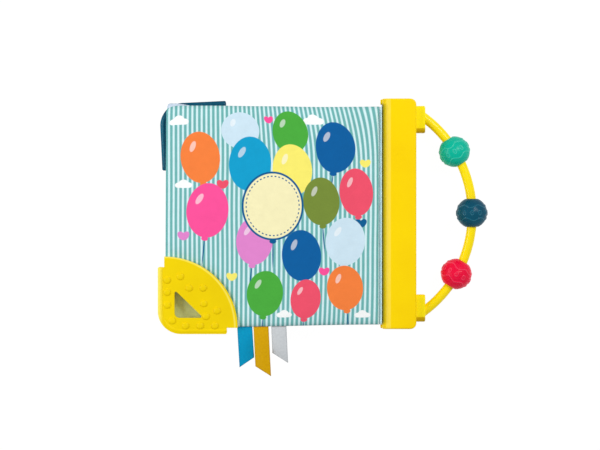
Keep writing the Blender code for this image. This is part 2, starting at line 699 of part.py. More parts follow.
def leaf_pieces(name, leaf, pivot, parts, cutters):
    places = leaf_places(leaf)
    thickness = leaf["thickness"]

    def upper(x, y):
        return page_middle(x, places) + page_half(x, y, places, thickness)

    def lower(x, y):
        return page_middle(x, places) - page_half(x, y, places, thickness)

    case = bmesh.new()
    xs, ys = leaf_stations(places, 0.0, ROOT_X, True)
    add_sheet(case, xs, ys, upper, lower)
    case = to_object(name + "_cloth", case, parts)

    # hollow of the sewn case, open at the bar
    hollow = bmesh.new()
    inset = SEAM_WIDTH + CASE_EDGE
    xs, ys = leaf_stations(places, inset, ROOT_X, False)
    add_sheet(hollow, xs[:-1] + [ROOT_X + OVERRUN], ys,
              lambda x, y: upper(min(x, ROOT_X), y) - CASE_WALL,
              lambda x, y: lower(min(x, ROOT_X), y) + CASE_WALL)
    hollow = as_cutter(to_object(name + "_hollow", hollow, cutters))

    # wadding and crinkle film inside it, the film under the upper face
    xs = [xs[0] + FIT_GAP] + [x for x in xs[1:] if x < ROOT_X - FILLING_FROM_ROOT]
    ys = [ys[0] + FIT_GAP] + ys[1:-1] + [ys[-1] - FIT_GAP]
    film_top = CASE_WALL + FIT_GAP
    wadding_top = film_top + FILM_THICKNESS + FIT_GAP
    film = bmesh.new()
    add_sheet(film, xs, ys, lambda x, y: upper(x, y) - film_top,
              lambda x, y: upper(x, y) - film_top - FILM_THICKNESS)
    film = to_object(name + "_crinkle_film", film, parts)
    wadding = bmesh.new()
    add_sheet(wadding, xs, ys, lambda x, y: upper(x, y) - wadding_top,
              lambda x, y: lower(x, y) + CASE_WALL + FIT_GAP)
    wadding = to_object(name + "_wadding", wadding, parts)

    if leaf["teether"]:
        discs, corner_block, holes = plate_cutters(name, places, leaf["teether"], cutters)
        wall = TEETHER_RADIUS + FIT_GAP + CASE_EDGE
        hollow_end = corner_disc(name + "_hollow_end", places, leaf["teether"], wall, cutters)
        filling_end = corner_disc(name + "_filling_end", places, leaf["teether"], wall + FIT_GAP, cutters)
        boolean(hollow, hollow_end, "DIFFERENCE")
        for cutter in (discs, corner_block, holes):
            boolean(case, cutter, "DIFFERENCE")
        boolean(film, filling_end, "DIFFERENCE")
        boolean(wadding, filling_end, "DIFFERENCE")
    boolean(case, hollow, "DIFFERENCE")

    finish_piece(case, leaf["colour"], 0.85)
    finish_piece(film, (0.75, 0.78, 0.80), 0.30)
    finish_piece(wadding, (0.90, 0.90, 0.88), 0.95)
    for obj in (case, film, wadding):
        put_on_pivot(obj, pivot)


def leaf_hem(name, leaf, peg_x, peg_places, parts, cutters):
    # the leaf's hem, clamped in the bar on its pegs, and its short run from the mouth to the fold
    places = leaf_places(leaf)
    half = SEAM_THICKNESS / 2
    low_y = places["bottom"] + HEM_SIDE_INSET
    high_y = places["top"] - leaf["rise"] - HEM_SIDE_INSET
    run = [(HEM_END_X, places["fold_z"]), (MOUTH_X - SPREAD_FROM_MOUTH, places["hem_z"]),
           (MOUTH_X + HEM_DEPTH, places["hem_z"])]
    outline = [(x, z - half) for x, z in run] + [(x, z + half) for x, z in reversed(run)]
    bm = bmesh.new()
    side = bm.faces.new([bm.verts.new((x, low_y, z)) for x, z in outline])
    far = bmesh.ops.extrude_face_region(bm, geom=[side])["geom"]
    bmesh.ops.translate(bm, verts=[item for item in far if isinstance(item, bmesh.types.BMVert)],
                        vec=(0.0, high_y - low_y, 0.0))
    hem = to_object(name + "_hem", bm, parts)
    holes = bmesh.new()
    for y in peg_places:
        add_cylinder(holes, PEG_RADIUS + FIT_GAP, (peg_x, y, places["hem_z"] - half - OVERRUN),
                     (peg_x, y, places["hem_z"] + half + OVERRUN), sides=12)
    boolean(hem, as_cutter(to_object(name + "_hem_holes", holes, cutters)), "DIFFERENCE")
    finish_piece(hem, leaf["colour"], 0.85)


def ribbons(leaf, pivot, parts):
    # flat lengths of satin from the cover's lower seam, bending down to a slanting cut
    places = leaf_places(leaf)
    seam_y = places["bottom"] - FIT_GAP
    for index, (name, ribbon) in enumerate(RIBBONS.items()):
        left = places["free"] + TEETHER_RADIUS + RIBBON_FROM_TEETHER + index * RIBBON_SPACING
        middle = left + RIBBON_WIDTH / 2
        slant = ribbon["slant_side"] * RIBBON_SLANT

        bm = bmesh.new()
        made = bmesh.ops.create_grid(bm, x_segments=2, y_segments=RIBBON_LENGTH_STEPS, size=1)["verts"]
        for vert in made:
            across = vert.co.x / 2 * RIBBON_WIDTH
            along = (1 - vert.co.y) / 2
            length = ribbon["length"] + slant * vert.co.x / 2
            vert.co = (middle + across + RIBBON_LEAN_SHARE * length * along,
                       seam_y - length * along,
                       places["page_z"] - RIBBON_DROOP_SHARE * ribbon["length"] * along * along)
        strip = to_object(name, bm, parts)
        solidify = strip.modifiers.new("cloth_thickness", "SOLIDIFY")
        solidify.thickness = RIBBON_THICKNESS
        solidify.offset = 0.0
        finish_piece(strip, ribbon["colour"], 0.45)
        put_on_pivot(strip, pivot)


def build():
    empty_scene()
    parts = new_collection("crinkle_cloth_book")
    cutters = new_collection("cutters")
    pivots = new_collection("pivots")

    peg_x, peg_places = spine_bar(parts, cutters)
    handle(parts, cutters)
    beads(parts, pivots)

    upper_fold = (FOLD_X, 0.0, UPPER_FOLD_Z)
    lower_fold = (FOLD_X, 0.0, LOWER_FOLD_Z)
    inner_pivot = new_pivot("inner_leaf_pivot", upper_fold, pivots)
    leaf_pivots = {
        "inner_leaf": inner_pivot,
        "front_cover": new_pivot("front_cover_pivot", upper_fold, pivots, parent=inner_pivot),
        "back_cover": new_pivot("back_cover_pivot", lower_fold, pivots),
    }
    for name, leaf in LEAVES.items():
        leaf_pieces(name, leaf, leaf_pivots[name], parts, cutters)
        leaf_hem(name, leaf, peg_x, peg_places, parts, cutters)
    teether("yellow_corner_teether", LEAVES["front_cover"], (0.83, 0.61, 0.0),
            leaf_pivots["front_cover"], parts, cutters)
    teether("teal_corner_teether", LEAVES["back_cover"], (0.0, 0.13, 0.20),
            leaf_pivots["back_cover"], parts, cutters)
    ribbons(LEAVES["front_cover"], leaf_pivots["front_cover"], parts)

    print("fold lines at x", FOLD_X, "z", UPPER_FOLD_Z, LOWER_FOLD_Z)
    print("handle arc centre x", ARC_CENTRE_X, "z", MID_Z, "tube ends at", degrees(TUBE_END_ANGLE))


build()
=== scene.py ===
# A baby's crinkle cloth book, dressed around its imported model.
# Metres, +Z up. The book lies on its back cover, +X points to the bead handle.
from math import asin, copysign, cos, exp, hypot, pi, radians, sin, sqrt, tan
import bpy
import bmesh
from mathutils import Matrix, Vector, noise


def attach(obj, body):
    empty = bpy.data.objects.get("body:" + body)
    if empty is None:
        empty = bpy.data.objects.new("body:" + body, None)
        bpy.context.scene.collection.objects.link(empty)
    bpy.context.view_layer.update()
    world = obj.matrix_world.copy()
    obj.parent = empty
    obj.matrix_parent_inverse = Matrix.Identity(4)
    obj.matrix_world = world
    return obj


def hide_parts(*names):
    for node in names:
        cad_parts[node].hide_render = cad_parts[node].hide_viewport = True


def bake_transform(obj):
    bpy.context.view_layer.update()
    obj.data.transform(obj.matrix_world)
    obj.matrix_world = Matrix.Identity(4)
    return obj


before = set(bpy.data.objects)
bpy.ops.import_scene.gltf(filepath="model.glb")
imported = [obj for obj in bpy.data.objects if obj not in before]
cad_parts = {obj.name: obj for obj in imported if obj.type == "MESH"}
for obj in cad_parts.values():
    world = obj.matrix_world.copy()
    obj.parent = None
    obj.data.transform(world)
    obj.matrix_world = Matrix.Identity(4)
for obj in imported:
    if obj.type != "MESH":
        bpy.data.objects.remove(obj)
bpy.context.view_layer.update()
mm = 0.001


# helpers
def paint(red, green, blue):
    # a colour as it shows on a screen, 0 to 255, as the linear numbers a shader takes
    def linear(level):
        level /= 255
        return level / 12.92 if level <= 0.04045 else ((level + 0.055) / 1.055) ** 2.4
    return (linear(red), linear(green), linear(blue), 1.0)


def clamped(share):
    return min(max(share, 0.0), 1.0)


def ease(share):
    share = clamped(share)
    return share * share * (3 - 2 * share)


def metres(**sizes):
    # a piece's sizes, which are written in millimetres
    return {name: size * mm for name, size in sizes.items()}


def placeMesh(name, bm, finishes, recalc=True):
    if recalc:
        bmesh.ops.recalc_face_normals(bm, faces=bm.faces[:])
    mesh = bpy.data.meshes.new(name)
    bm.to_mesh(mesh)
    bm.free()
    piece = bpy.data.objects.new(name, mesh)
    bpy.context.scene.collection.objects.link(piece)
    for finish in finishes:
        mesh.materials.append(finish)
    mesh.shade_smooth()
    return piece


def settleModifiers(piece):
    # keep the shape that the modifiers give, as plain mesh
    bpy.context.view_layer.update()
    done = bpy.data.meshes.new_from_object(
        piece.evaluated_get(bpy.context.evaluated_depsgraph_get()), preserve_all_data_layers=True,
        depsgraph=bpy.context.evaluated_depsgraph_get())
    piece.modifiers.clear()
    old = piece.data
    piece.data = done
    done.name = piece.name
    bpy.data.meshes.remove(old)
    return piece


def newFinish(name, roughness):
    finish = bpy.data.materials.new(name)
    finish.use_nodes = True
    shader = finish.node_tree.nodes["Principled BSDF"]
    shader.inputs["Roughness"].default_value = roughness
    return finish, finish.node_tree, shader


def plug(tree, node, plugs):
    # link each named input to an output, or set its number
    for name, value in plugs.items():
        if isinstance(value, bpy.types.NodeSocket):
            tree.links.new(value, node.inputs[name])
        else:
            node.inputs[name].default_value = value
    return node


def addNode(tree, kind, plugs=None, **settings):
    made = tree.nodes.new("ShaderNode" + kind)
    for name, value in settings.items():
        setattr(made, name, value)
    return plug(tree, made, plugs or {})


def mixColours(tree, share, below, above):
    return addNode(tree, "Mix", {0: share, 6: below, 7: above}, data_type="RGBA").outputs[2]


def ranged(tree, value, low, high, outLow, outHigh, clamp=True):
    return addNode(tree, "MapRange", {"Value": value, "From Min": low, "From Max": high, "To Min": outLow,
                                      "To Max": outHigh}, clamp=clamp).outputs["Result"]


def sums(tree, operation, first, second=0.0):
    return addNode(tree, "Math", {0: first, 1: second}, operation=operation).outputs[0]


def times(tree, first, second):
    return sums(tree, "MULTIPLY", first, second)


def split(tree, place):
    return addNode(tree, "SeparateXYZ", {0: place}).outputs


def speckle(tree, place, scale, detail=2.0):
    return addNode(tree, "TexNoise", {"Vector": place, "Scale": scale, "Detail": detail}).outputs["Fac"]


def seenShare(tree):
    # 1 for what the camera sees, also through or off glossy faces, and 0 for light that falls on the book
    rays = addNode(tree, "LightPath").outputs
    seen = sums(tree, "MAXIMUM", rays["Is Camera Ray"], rays["Is Glossy Ray"])
    return sums(tree, "MAXIMUM", seen, rays["Is Transmission Ray"])


def loft(bm, rings, capped=True):
    # faces from each ring of points to the next, and one over each end
    for low, high in zip(rings, rings[1:]):
        for i in range(len(low)):
            j = (i + 1) % len(low)
            bm.faces.new((low[i], low[j], high[j], high[i]))
    if capped:
        bm.faces.new(rings[0])
        bm.faces.new(list(reversed(rings[-1])))


# camera, light and floor
studio = {
    "lookAt": (-65.4 * mm, -7.4 * mm, 16 * mm), "cameraHeight": 3300 * mm, "lens": 300, "worldStrength": 0.40,
    "keyPlace": (0.55, 0.48, 0.85), "keySize": 0.40, "keyPower": 6.8,
    "fillPlace": (-0.80, 0.05, 0.55), "fillSize": 0.5, "fillPower": 4.2,
    "floorBelow": 0.3 * mm, "floorReach": 3.0, "floorGlow": 1.03, "glowShare": 0.955,
}


def setStudio(spec):
    scene = bpy.context.scene
    scene.view_settings.view_transform = "Standard"
    camera = bpy.data.objects.new("camera", bpy.data.cameras.new("camera"))
    camera.data.lens = spec["lens"]
    camera.data.sensor_width = 36
    camera.location = Vector(spec["lookAt"]) + Vector((0, 0, spec["cameraHeight"]))
    scene.collection.objects.link(camera)
    scene.camera = camera

    for name in ("key", "fill"):
        lamp = bpy.data.lights.new(name, "AREA")
        lamp.size = spec[name + "Size"]
        lamp.energy = spec[name + "Power"]
        light = bpy.data.objects.new(name, lamp)
        light.location = spec[name + "Place"]
        aim = Vector(spec["lookAt"]) - light.location
        light.rotation_euler = aim.to_track_quat("-Z", "Y").to_euler()
        scene.collection.objects.link(light)

    world = bpy.data.worlds.new("softRoom")
    scene.world = world
    world.use_nodes = True
    tree = world.node_tree
    plug(tree, tree.nodes["Background"], {
        "Color": (1, 1, 1, 1), "Strength": ranged(tree, seenShare(tree), 0.0, 1.0, spec["worldStrength"], 1.0)})

    finish = bpy.data.materials.new("paleFloor")
    finish.use_nodes = True
    tree = finish.node_tree
    tree.nodes.clear()
    seen = seenShare(tree)
    grain = addNode(tree, "TexNoise", {"Scale": 9.0, "Detail": 2.0}).outputs["Fac"]
    pale = mixColours(tree, grain, (0.93, 0.93, 0.93, 1), (0.95, 0.95, 0.95, 1))
    matt = addNode(tree, "BsdfDiffuse", {"Color": pale}).outputs[0]
    glow = addNode(tree, "Emission", {"Color": (1, 1, 1, 1), "Strength": spec["floorGlow"]}).outputs[0]
    both = addNode(tree, "MixShader", {0: times(tree, seen, spec["glowShare"]), 1: matt, 2: glow})
    addNode(tree, "OutputMaterial", {"Surface": both.outputs[0]})

    bm = bmesh.new()
    bmesh.ops.create_grid(bm, x_segments=2, y_segments=2, size=spec["floorReach"])
    bmesh.ops.translate(bm, verts=bm.verts, vec=(0, 0, -spec["floorBelow"]))
    floor = placeMesh("floor", bm, [finish])
    print("studio set")


setStudio(studio)


# moulded finishes
def mouldedFinish(name, colour, deeper, roughness, grainSize, bumpDepth, coat=0.0, paintedLighting=None):
    # one moulded colour with a slight drift in it, a fine skin, and painted light and shade where they are given
    finish, tree, shader = newFinish(name, roughness)
    place = addNode(tree, "TexCoord").outputs["Object"]
    drift = speckle(tree, place, 38.0, 3.0)
    shown = mixColours(tree, ranged(tree, drift, 0.35, 0.70, 0.0, 1.0), colour, deeper)
    if paintedLighting:
        shown = paintedLighting(tree, place, shown)
    skin = speckle(tree, place, 1.0 / grainSize)
    varied = ranged(tree, skin, 0.3, 0.7, roughness - 0.04, roughness + 0.06)
    bump = addNode(tree, "Bump", {"Height": skin, "Strength": 0.35, "Distance": bumpDepth}).outputs[0]
    plug(tree, shader, {"Base Color": shown, "Roughness": varied, "Normal": bump, "Specular IOR Level": 0.09,
                        "Coat Weight": coat, "Coat Roughness": 0.12})
    return finish


# where light and shade are painted on the bar, in millimetres: each pair is where a change begins and ends
barLightMarks = {
    "bandLeft": (-9.1, -7.9), "bandRight": (-5.9, -5.3), "bandHeight": (17, 20), "paintedHighlight": paint(252, 228, 96),
    "creaseEnds": (71.2, 73.4),
    "creases": (((-10.4, -6.6), 0.55, paint(160, 144, 0)), ((-10.9, -9.4), 0.85, paint(84, 92, 0))),
    "sockets": (11.2, 11.6), "socketLight": paint(255, 234, 16),
    "stepShift": 7.35, "stepReach": 62.3, "stepWidth": (1.2, 1.9), "stepShade": paint(206, 168, 0),
}


def barPaintedLight(tree, place, shown):
    # a painted highlight along the bar's moulded edge, painted shade in the crease by the cloth and below each
    # socket's step, and painted light on the sockets
    spec = barLightMarks

    def over(value, name, start, end):
        return ranged(tree, value, spec[name][0] * mm, spec[name][1] * mm, start, end)

    across, along, height = split(tree, place)
    # a mottled painted highlight in a band along the flank
    band = times(tree, over(across, "bandLeft", 0.0, 1.0), over(across, "bandRight", 1.0, 0.0))
    band = times(tree, band, ranged(tree, speckle(tree, place, 160.0), 0.2, 0.8, 0.32, 0.52))
    shown = mixColours(tree, times(tree, band, over(height, "bandHeight", 0.0, 1.0)), shown, spec["paintedHighlight"])
    # painted shade in the crease by the cloth, fading out at the bar's two ends
    lips = over(sums(tree, "ABSOLUTE", along), "creaseEnds", 1.0, 0.0)
    for (near, far), most, tone in spec["creases"]:
        crease = times(tree, ranged(tree, across, near * mm, far * mm, most, 0.0), lips)
        shown = mixColours(tree, crease, shown, tone)
    # the sockets painted lighter: painted light
    beyond = over(across, "sockets", 0.0, 0.95)
    shown = mixColours(tree, beyond, shown, spec["socketLight"])
    # painted shade on the lower side of each socket's step
    fromMiddle = sums(tree, "ABSOLUTE", sums(tree, "ADD", along, spec["stepShift"] * mm))
    step = sums(tree, "ABSOLUTE", sums(tree, "SUBTRACT", fromMiddle, spec["stepReach"] * mm))
    return mixColours(tree, times(tree, beyond, over(step, "stepWidth", 1.0, 0.0)), shown, spec["stepShade"])


def teetherHighlight(corner, tone):
    # the rolled rim and the plate's round edge, painted paler than the rest: a painted highlight, mottled at random
    def paintedLighting(tree, place, shown):
        near = addNode(tree, "VectorMath", {0: place, 1: (1, 1, 0), 2: (-corner[0], -corner[1], 0)},
                       operation="MULTIPLY_ADD").outputs[0]
        far = addNode(tree, "VectorMath", {0: near}, operation="LENGTH").outputs["Value"]
        highlightMottle = ranged(tree, speckle(tree, place, 240.0), 0.2, 0.8, 0.6, 1.0)
        fromArc = sums(tree, "ABSOLUTE", sums(tree, "SUBTRACT", far, 46.6 * mm))
        edge = ranged(tree, fromArc, 0.25 * mm, 0.8 * mm, 0.7, 0.0)
        rim = ranged(tree, split(tree, near)[0], -4.2 * mm, -0.9 * mm, 1.0, 0.0)
        return mixColours(tree, times(tree, sums(tree, "MAXIMUM", edge, rim), highlightMottle), shown, tone)
    return paintedLighting


yellowPlastic = mouldedFinish("yellowPlastic", paint(250, 214, 0), paint(247, 208, 0), 0.34, 0.9 * mm, 0.02 * mm,
                              paintedLighting=barPaintedLight)
tubePlastic = mouldedFinish("tubePlastic", paint(252, 228, 6), paint(249, 220, 2), 0.26, 0.9 * mm, 0.01 * mm, 0.15)
# each teether's last colour is its painted highlight, on the rim and the plate's round edge
yellowSilicone = mouldedFinish("yellowSilicone", paint(240, 210, 0), paint(233, 202, 0), 0.42, 0.6 * mm, 0.02 * mm,
                               paintedLighting=teetherHighlight((-154.9 * mm, -75.2 * mm), paint(255, 242, 112)))
tealSilicone = mouldedFinish("tealSilicone", paint(4, 84, 110), paint(2, 72, 98), 0.36, 0.6 * mm, 0.02 * mm, 0.08,
                             paintedLighting=teetherHighlight((-154.3 * mm, 68.8 * mm), paint(30, 128, 154)))


# spine bar
bar = {
    **metres(width=22.6, length=152, height=22, edge=1.0, cornerRound=4.0, endRound=1.1, flankRun=5.7,
             lipHeight=8.0, partingGap=0.3, mouthHeight=6.0, mouthDepth=13.4, mouthChamfer=0.35, endWall=1.6,
             socketReach=6.0, socketLength=18.0, socketDepth=12.0, socketY=62.27, socketEdge=1.0, socketShoulder=3.2,
             endLipReach=0.9, endLipLength=3.4, endLipInset=0.5, endLipDrop=0.2, endLipEdge=0.45, sunk=1.0),
    # where sections stand: millimetres from each end, and shares of the length between
    "depths": (0.0, 0.08, 0.25, 0.5, 0.8, 1.1, 1.6, 2.2, 3.0, 4.0), "shares": (0.1, 0.25, 0.4, 0.5, 0.6, 0.75, 0.9),
}


def barSection(spec, inset, rightInset):
    # outer line of the front half, from the parting plane over the top to the mouth
    half, top = spec["width"] / 2, spec["height"] / 2
    right = half - max(inset, rightInset)
    points = [(right, spec["partingGap"] / 2)]
    edge = spec["edge"]
    for step in range(7):
        angle = radians(15 * step)
        points.append((right - edge + edge * cos(angle), top - inset - edge + edge * sin(angle)))
    flankX, lip = -half + spec["flankRun"], spec["lipHeight"] / 2
    run, drop = spec["flankRun"] - inset, top - lip - inset * 0.4
    for step in range(15):
        angle = radians(90 * step / 14)
        points.append((flankX - run * sin(angle), lip + (drop - inset * 0.6) * cos(angle)))
    points.append((-half + inset, spec["mouthHeight"] / 2 + spec["mouthChamfer"]))
    points.append((-half + inset + spec["mouthChamfer"], spec["mouthHeight"] / 2))
    return points


def drawnIn(size, depth):
    # how far a rounded corner of this size draws the section in, at this depth from the bar's end
    return size - sqrt(max(size ** 2 - (size - depth) ** 2, 0.0)) if depth < size else 0.0


def castShell(name, spec, side, finish):
    # one half of the bar: the section swept along its length, drawn in at both ends
    bm = bmesh.new()
    middle, half, parting = spec["height"] / 2, spec["length"] / 2, spec["partingGap"] / 2
    left, right, mouthTop = -spec["width"] / 2, spec["width"] / 2, spec["mouthHeight"] / 2
    places = [-half + depth * mm for depth in spec["depths"]]
    places += [-half + (2 * half) * share for share in spec["shares"]]
    places += [half - depth * mm for depth in reversed(spec["depths"])]
    rings = []
    for y in places:
        depth = half - abs(y)
        line = barSection(spec, drawnIn(spec["endRound"], depth), drawnIn(spec["cornerRound"], depth))
        inner, top = left + spec["mouthDepth"], mouthTop
        if abs(y) > half - spec["endWall"]:
            inner, top = line[-1][0], mouthTop * 0.6
        line += [(inner, top), (inner, parting)]
        rings.append([bm.verts.new((x, y, middle + side * z)) for x, z in line])
    loft(bm, rings)

    # sockets for the tube, and the small lips at the two ends
    for y in (-spec["socketY"], spec["socketY"]):
        roundedBlock(bm, (right - spec["sunk"], y - spec["socketLength"] / 2, parting),
                     (right + spec["socketReach"], y + spec["socketLength"] / 2, spec["socketDepth"] / 2),
                     spec["socketEdge"], middle, side, spec["socketShoulder"])
    for end in (-1, 1):
        outer = half - spec["endLipInset"]
        lowY, highY = sorted((end * outer, end * (outer - spec["endLipLength"])))
        roundedBlock(bm, (left - spec["endLipReach"], lowY, parting),
                     (left + spec["sunk"], highY, spec["lipHeight"] / 2 - spec["endLipDrop"]),
                     spec["endLipEdge"], middle, side)
    shell = placeMesh(name, bm, [finish])
    shell.data.set_sharp_from_angle(angle=radians(38))
    return shell


def roundedBlock(bm, low, high, edge, middle, side, shoulder=0.0):
    # a block whose edges are rounded, but not where it meets the other half
    block = bmesh.new()
    low, high = Vector(low), Vector(high)
    made = bmesh.ops.create_cube(block, size=1)["verts"]
    bmesh.ops.scale(block, verts=made, vec=high - low)
    bmesh.ops.translate(block, verts=made, vec=(low + high) / 2)
    rounded = [e for e in block.edges if not all(abs(v.co.z - low.z) < 1e-6 for v in e.verts)]
    if shoulder:
        along = [e for e in rounded if all(abs(v.co.z - high.z) < 1e-6 for v in e.verts)
                 and abs(e.verts[0].co.y - e.verts[1].co.y) < 1e-6]
        bmesh.ops.bevel(block, geom=along, offset=shoulder, segments=8, affect="EDGES", profile=0.5)
        rounded = [e for e in block.edges if all(abs(v.co.x - high.x) < 1e-6 for v in e.verts)
                   and not all(abs(v.co.z - low.z) < 1e-6 for v in e.verts)]
    bmesh.ops.bevel(block, geom=rounded, offset=edge, segments=5, affect="EDGES", profile=0.5)
    for vert in block.verts:
        vert.co.z = middle + side * vert.co.z
    if side < 0:
        bmesh.ops.reverse_faces(block, faces=block.faces[:])
    mesh = bpy.data.meshes.new("block")
    block.to_mesh(mesh)
    block.free()
    bm.from_mesh(mesh)
    bpy.data.meshes.remove(mesh)


for name, side, node in (("spineFrontCasing", 1, "spine_front_shell"), ("spineRearCasing", -1, "spine_rear_shell")):
    shell = castShell(name, bar, side, yellowPlastic)
    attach(shell, "root")
    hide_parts(node)
print("spine bar cast")


# handle tube
handle = {
    "centre": (-31.2 * mm, -0.35 * mm, 11 * mm), "arcRadius": 79.6 * mm, "tubeRadius": 3.12 * mm,
    "shoulder": 0.25 * mm,          # how far the tube bulges past a true arc, half way to each end
    "endAngle": 61.6, "steps": 120, "sides": 40, "collarRadius": 3.9 * mm, "tipShare": 0.80,
}


def tubeReach(spec, angle):
    return spec["arcRadius"] + spec["shoulder"] * sin(1.9 * angle) ** 2


def bendTube(spec):
    bm = bmesh.new()
    centre = Vector(spec["centre"])
    rings = []
    for step in range(spec["steps"] + 1):
        angle = radians(-spec["endAngle"] + 2 * spec["endAngle"] * step / spec["steps"])
        out = Vector((cos(angle), sin(angle), 0))
        # a narrower tip, then a collar, at both ends
        radius = {0: spec["tubeRadius"] * spec["tipShare"], 1: spec["collarRadius"]}.get(
            min(step, spec["steps"] - step), spec["tubeRadius"])
        ring = []
        for i in range(spec["sides"]):
            turn = 2 * pi * i / spec["sides"]
            ring.append(bm.verts.new(centre + out * (tubeReach(spec, angle) + radius * cos(turn))
                                     + Vector((0, 0, radius * sin(turn)))))
        rings.append(ring)
    loft(bm, rings)
    tube = placeMesh("handleTube", bm, [tubePlastic])
    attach(tube, "root")
    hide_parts("handle_tube")
    return tube


bendTube(handle)


# beads
beads = {
    **metres(radius=10.15, halfLength=9.2, faceRadius=4.3, bore=3.66, ridgeHeight=0.36, ridgeWidth=0.60,
             ovalRadius=2.1),
    "sides": 180, "rows": 90, "waves": 6, "waveHeight": 4.3, "waveSwing": 0.9, "ovals": 12,
    "places": {"green": 31.4, "teal": 0.7, "red": -29.7},
    # main colour, deeper drift colour, and the painted highlight for the raised lines
    "colours": {"green": (paint(0, 180, 152), paint(0, 168, 140), paint(96, 216, 194)),
                "teal": (paint(0, 84, 106), paint(0, 70, 94), paint(52, 130, 152)),
                "red": (paint(240, 14, 64), paint(228, 4, 56), paint(252, 96, 128))},
}


def beadHighlight(centre, spec, tone):
    # the tops of the raised lines painted paler: a painted highlight
    def paintedLighting(tree, place, shown):
        far = addNode(tree, "VectorMath", {0: place, 1: centre}, operation="DISTANCE").outputs["Value"]
        top = spec["radius"] + spec["ridgeHeight"]
        return mixColours(tree, ranged(tree, far, spec["radius"] + 0.06 * mm, top, 0.0, 0.5), shown, tone)
    return paintedLighting


def ridge(distance, width):
    return ease(1 - abs(distance) / width)


def turnBead(colour, spec):
    # a ball with flat ends and two wavy ridges round it; small rings with a knob in each lie between them
    bm = bmesh.new()
    radius, halfLength = spec["radius"], spec["halfLength"]
    startAngle = asin(halfLength / radius)
    rings = []
    for row in range(spec["rows"] + 1):
        angle = startAngle * (1 - 2 * row / spec["rows"])
        height, out = radius * sin(angle), radius * cos(angle)
        ring = []
        for i in range(spec["sides"]):
            turn = 2 * pi * i / spec["sides"]
            lift = 0.0
            for side in (-1, 1):
                swing = spec["waveSwing"] * sin(spec["waves"] * turn + side)
                wave = side * (spec["waveHeight"] + swing) * mm
                lift = max(lift, ridge(height - wave, spec["ridgeWidth"]))
            step = 2 * pi / spec["ovals"]
            near = (turn + step / 2) % step - step / 2
            petal = hypot(near * out * 1.5, height) / spec["ovalRadius"]
            lift = max(lift, ridge(petal - 0.72, 0.30), ridge(petal, 0.35))
            reach = out + spec["ridgeHeight"] * lift
            ring.append(bm.verts.new((reach * cos(turn), reach * sin(turn), height)))
        rings.append(ring)

    def endRing(out, height):
        return [bm.verts.new((out * cos(2 * pi * i / spec["sides"]),
                              out * sin(2 * pi * i / spec["sides"]), height))
                for i in range(spec["sides"])]

    # the flat face and the mouth of the bore: radius, and height beyond the face
    face = ((spec["bore"], -0.5 * mm), (spec["bore"] + 0.2 * mm, 0.02 * mm),
            (spec["faceRadius"] - 0.35 * mm, 0.05 * mm))
    first = [endRing(out, halfLength + beyond) for out, beyond in face]
    last = [endRing(out, -halfLength - beyond) for out, beyond in reversed(face)]
    loft(bm, first + rings + last + first[:1], capped=False)
    place = radians(spec["places"][colour])
    sag = handle["arcRadius"] - sqrt(handle["arcRadius"] ** 2 - halfLength ** 2)
    out = Vector((cos(place), sin(place), 0))
    along = Vector((-sin(place), cos(place), 0))
    turned = Matrix((out.cross(along).cross(along) * -1, out.cross(along), along)).transposed().to_4x4()
    centre = Vector(handle["centre"]) + out * (tubeReach(handle, place) - sag / 2)
    main, deeper, paintedHighlight = spec["colours"][colour]
    finish = mouldedFinish(colour + "Bead", main, deeper, 0.30, 1.1 * mm, 0.01 * mm, 0.06,
                           paintedLighting=beadHighlight(centre, spec, paintedHighlight))
    bead = placeMesh(colour + "Bead", bm, [finish])
    bead.data.transform(Matrix.Translation(centre) @ turned)
    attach(bead, colour + "_bead")
    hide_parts("bead_" + colour)


for colour in beads["places"]:
    turnBead(colour, beads)
print("handle bent and beads turned")


# corner teethers
teether = {
    **metres(radius=47, plate=1.8, pocketHalf=1.1, pocketGap=0.3, edge=1.0, rimReach=4.1, rimLength=40, rimRound=15,
             rimHalfWidth=2.1, rimHalfHeight=3.2, rimChamfer=0.6, rimStep=1.2, windowFromEdge=6.6, windowLeg=18.5,
             windowRound=0.9, windowCorner=3.2, windowWall=2.6, bumpRadius=2.35, bumpHeight=0.85),
    "rimSides": 28, "bumpSides": 36,
    "bumps": ((0.04, 0.67), (0.04, 0.50), (0.04, 0.32), (0.11, 0.10), (0.29, 0.03), (0.49, 0.03), (0.69, 0.03),
              (0.22, 0.72), (0.34, 0.56), (0.53, 0.56), (0.54, 0.34), (0.72, 0.24), (0.57, 0.16)),
}


def arcLine(centre, radius, start, end, count):
    return [(centre[0] + radius * cos(radians(start + (end - start) * i / (count - 1))),
             centre[1] + radius * sin(radians(start + (end - start) * i / (count - 1))))
            for i in range(count)]


def filledOutline(name, points, low, high):
    # a flat outline as a filled curve, made into a closed solid
    curve = bpy.data.curves.new(name, "CURVE")
    curve.dimensions = "2D"
    curve.fill_mode = "BOTH"
    curve.extrude = (high - low) / 2
    spline = curve.splines.new("POLY")
    spline.points.add(len(points) - 1)
    for point, (x, y) in zip(spline.points, points):
        point.co = (x, y, 0, 1)
    spline.use_cyclic_u = True
    guide = bpy.data.objects.new(name + "Guide", curve)
    bpy.context.scene.collection.objects.link(guide)
    bpy.context.view_layer.update()
    bm = bmesh.new()
    bm.from_mesh(bpy.data.meshes.new_from_object(guide.evaluated_get(bpy.context.evaluated_depsgraph_get())))
    bpy.data.objects.remove(guide, do_unlink=True)
    bmesh.ops.remove_doubles(bm, verts=bm.verts[:], dist=1e-6)
    bmesh.ops.translate(bm, verts=bm.verts[:], vec=(0, 0, (high + low) / 2))
    return placeMesh(name, bm, [])


def cutWith(piece, cutter, operation):
    modifier = piece.modifiers.new(operation.lower(), "BOOLEAN")
    modifier.operation = operation
    modifier.object = cutter
    modifier.solver = "EXACT"


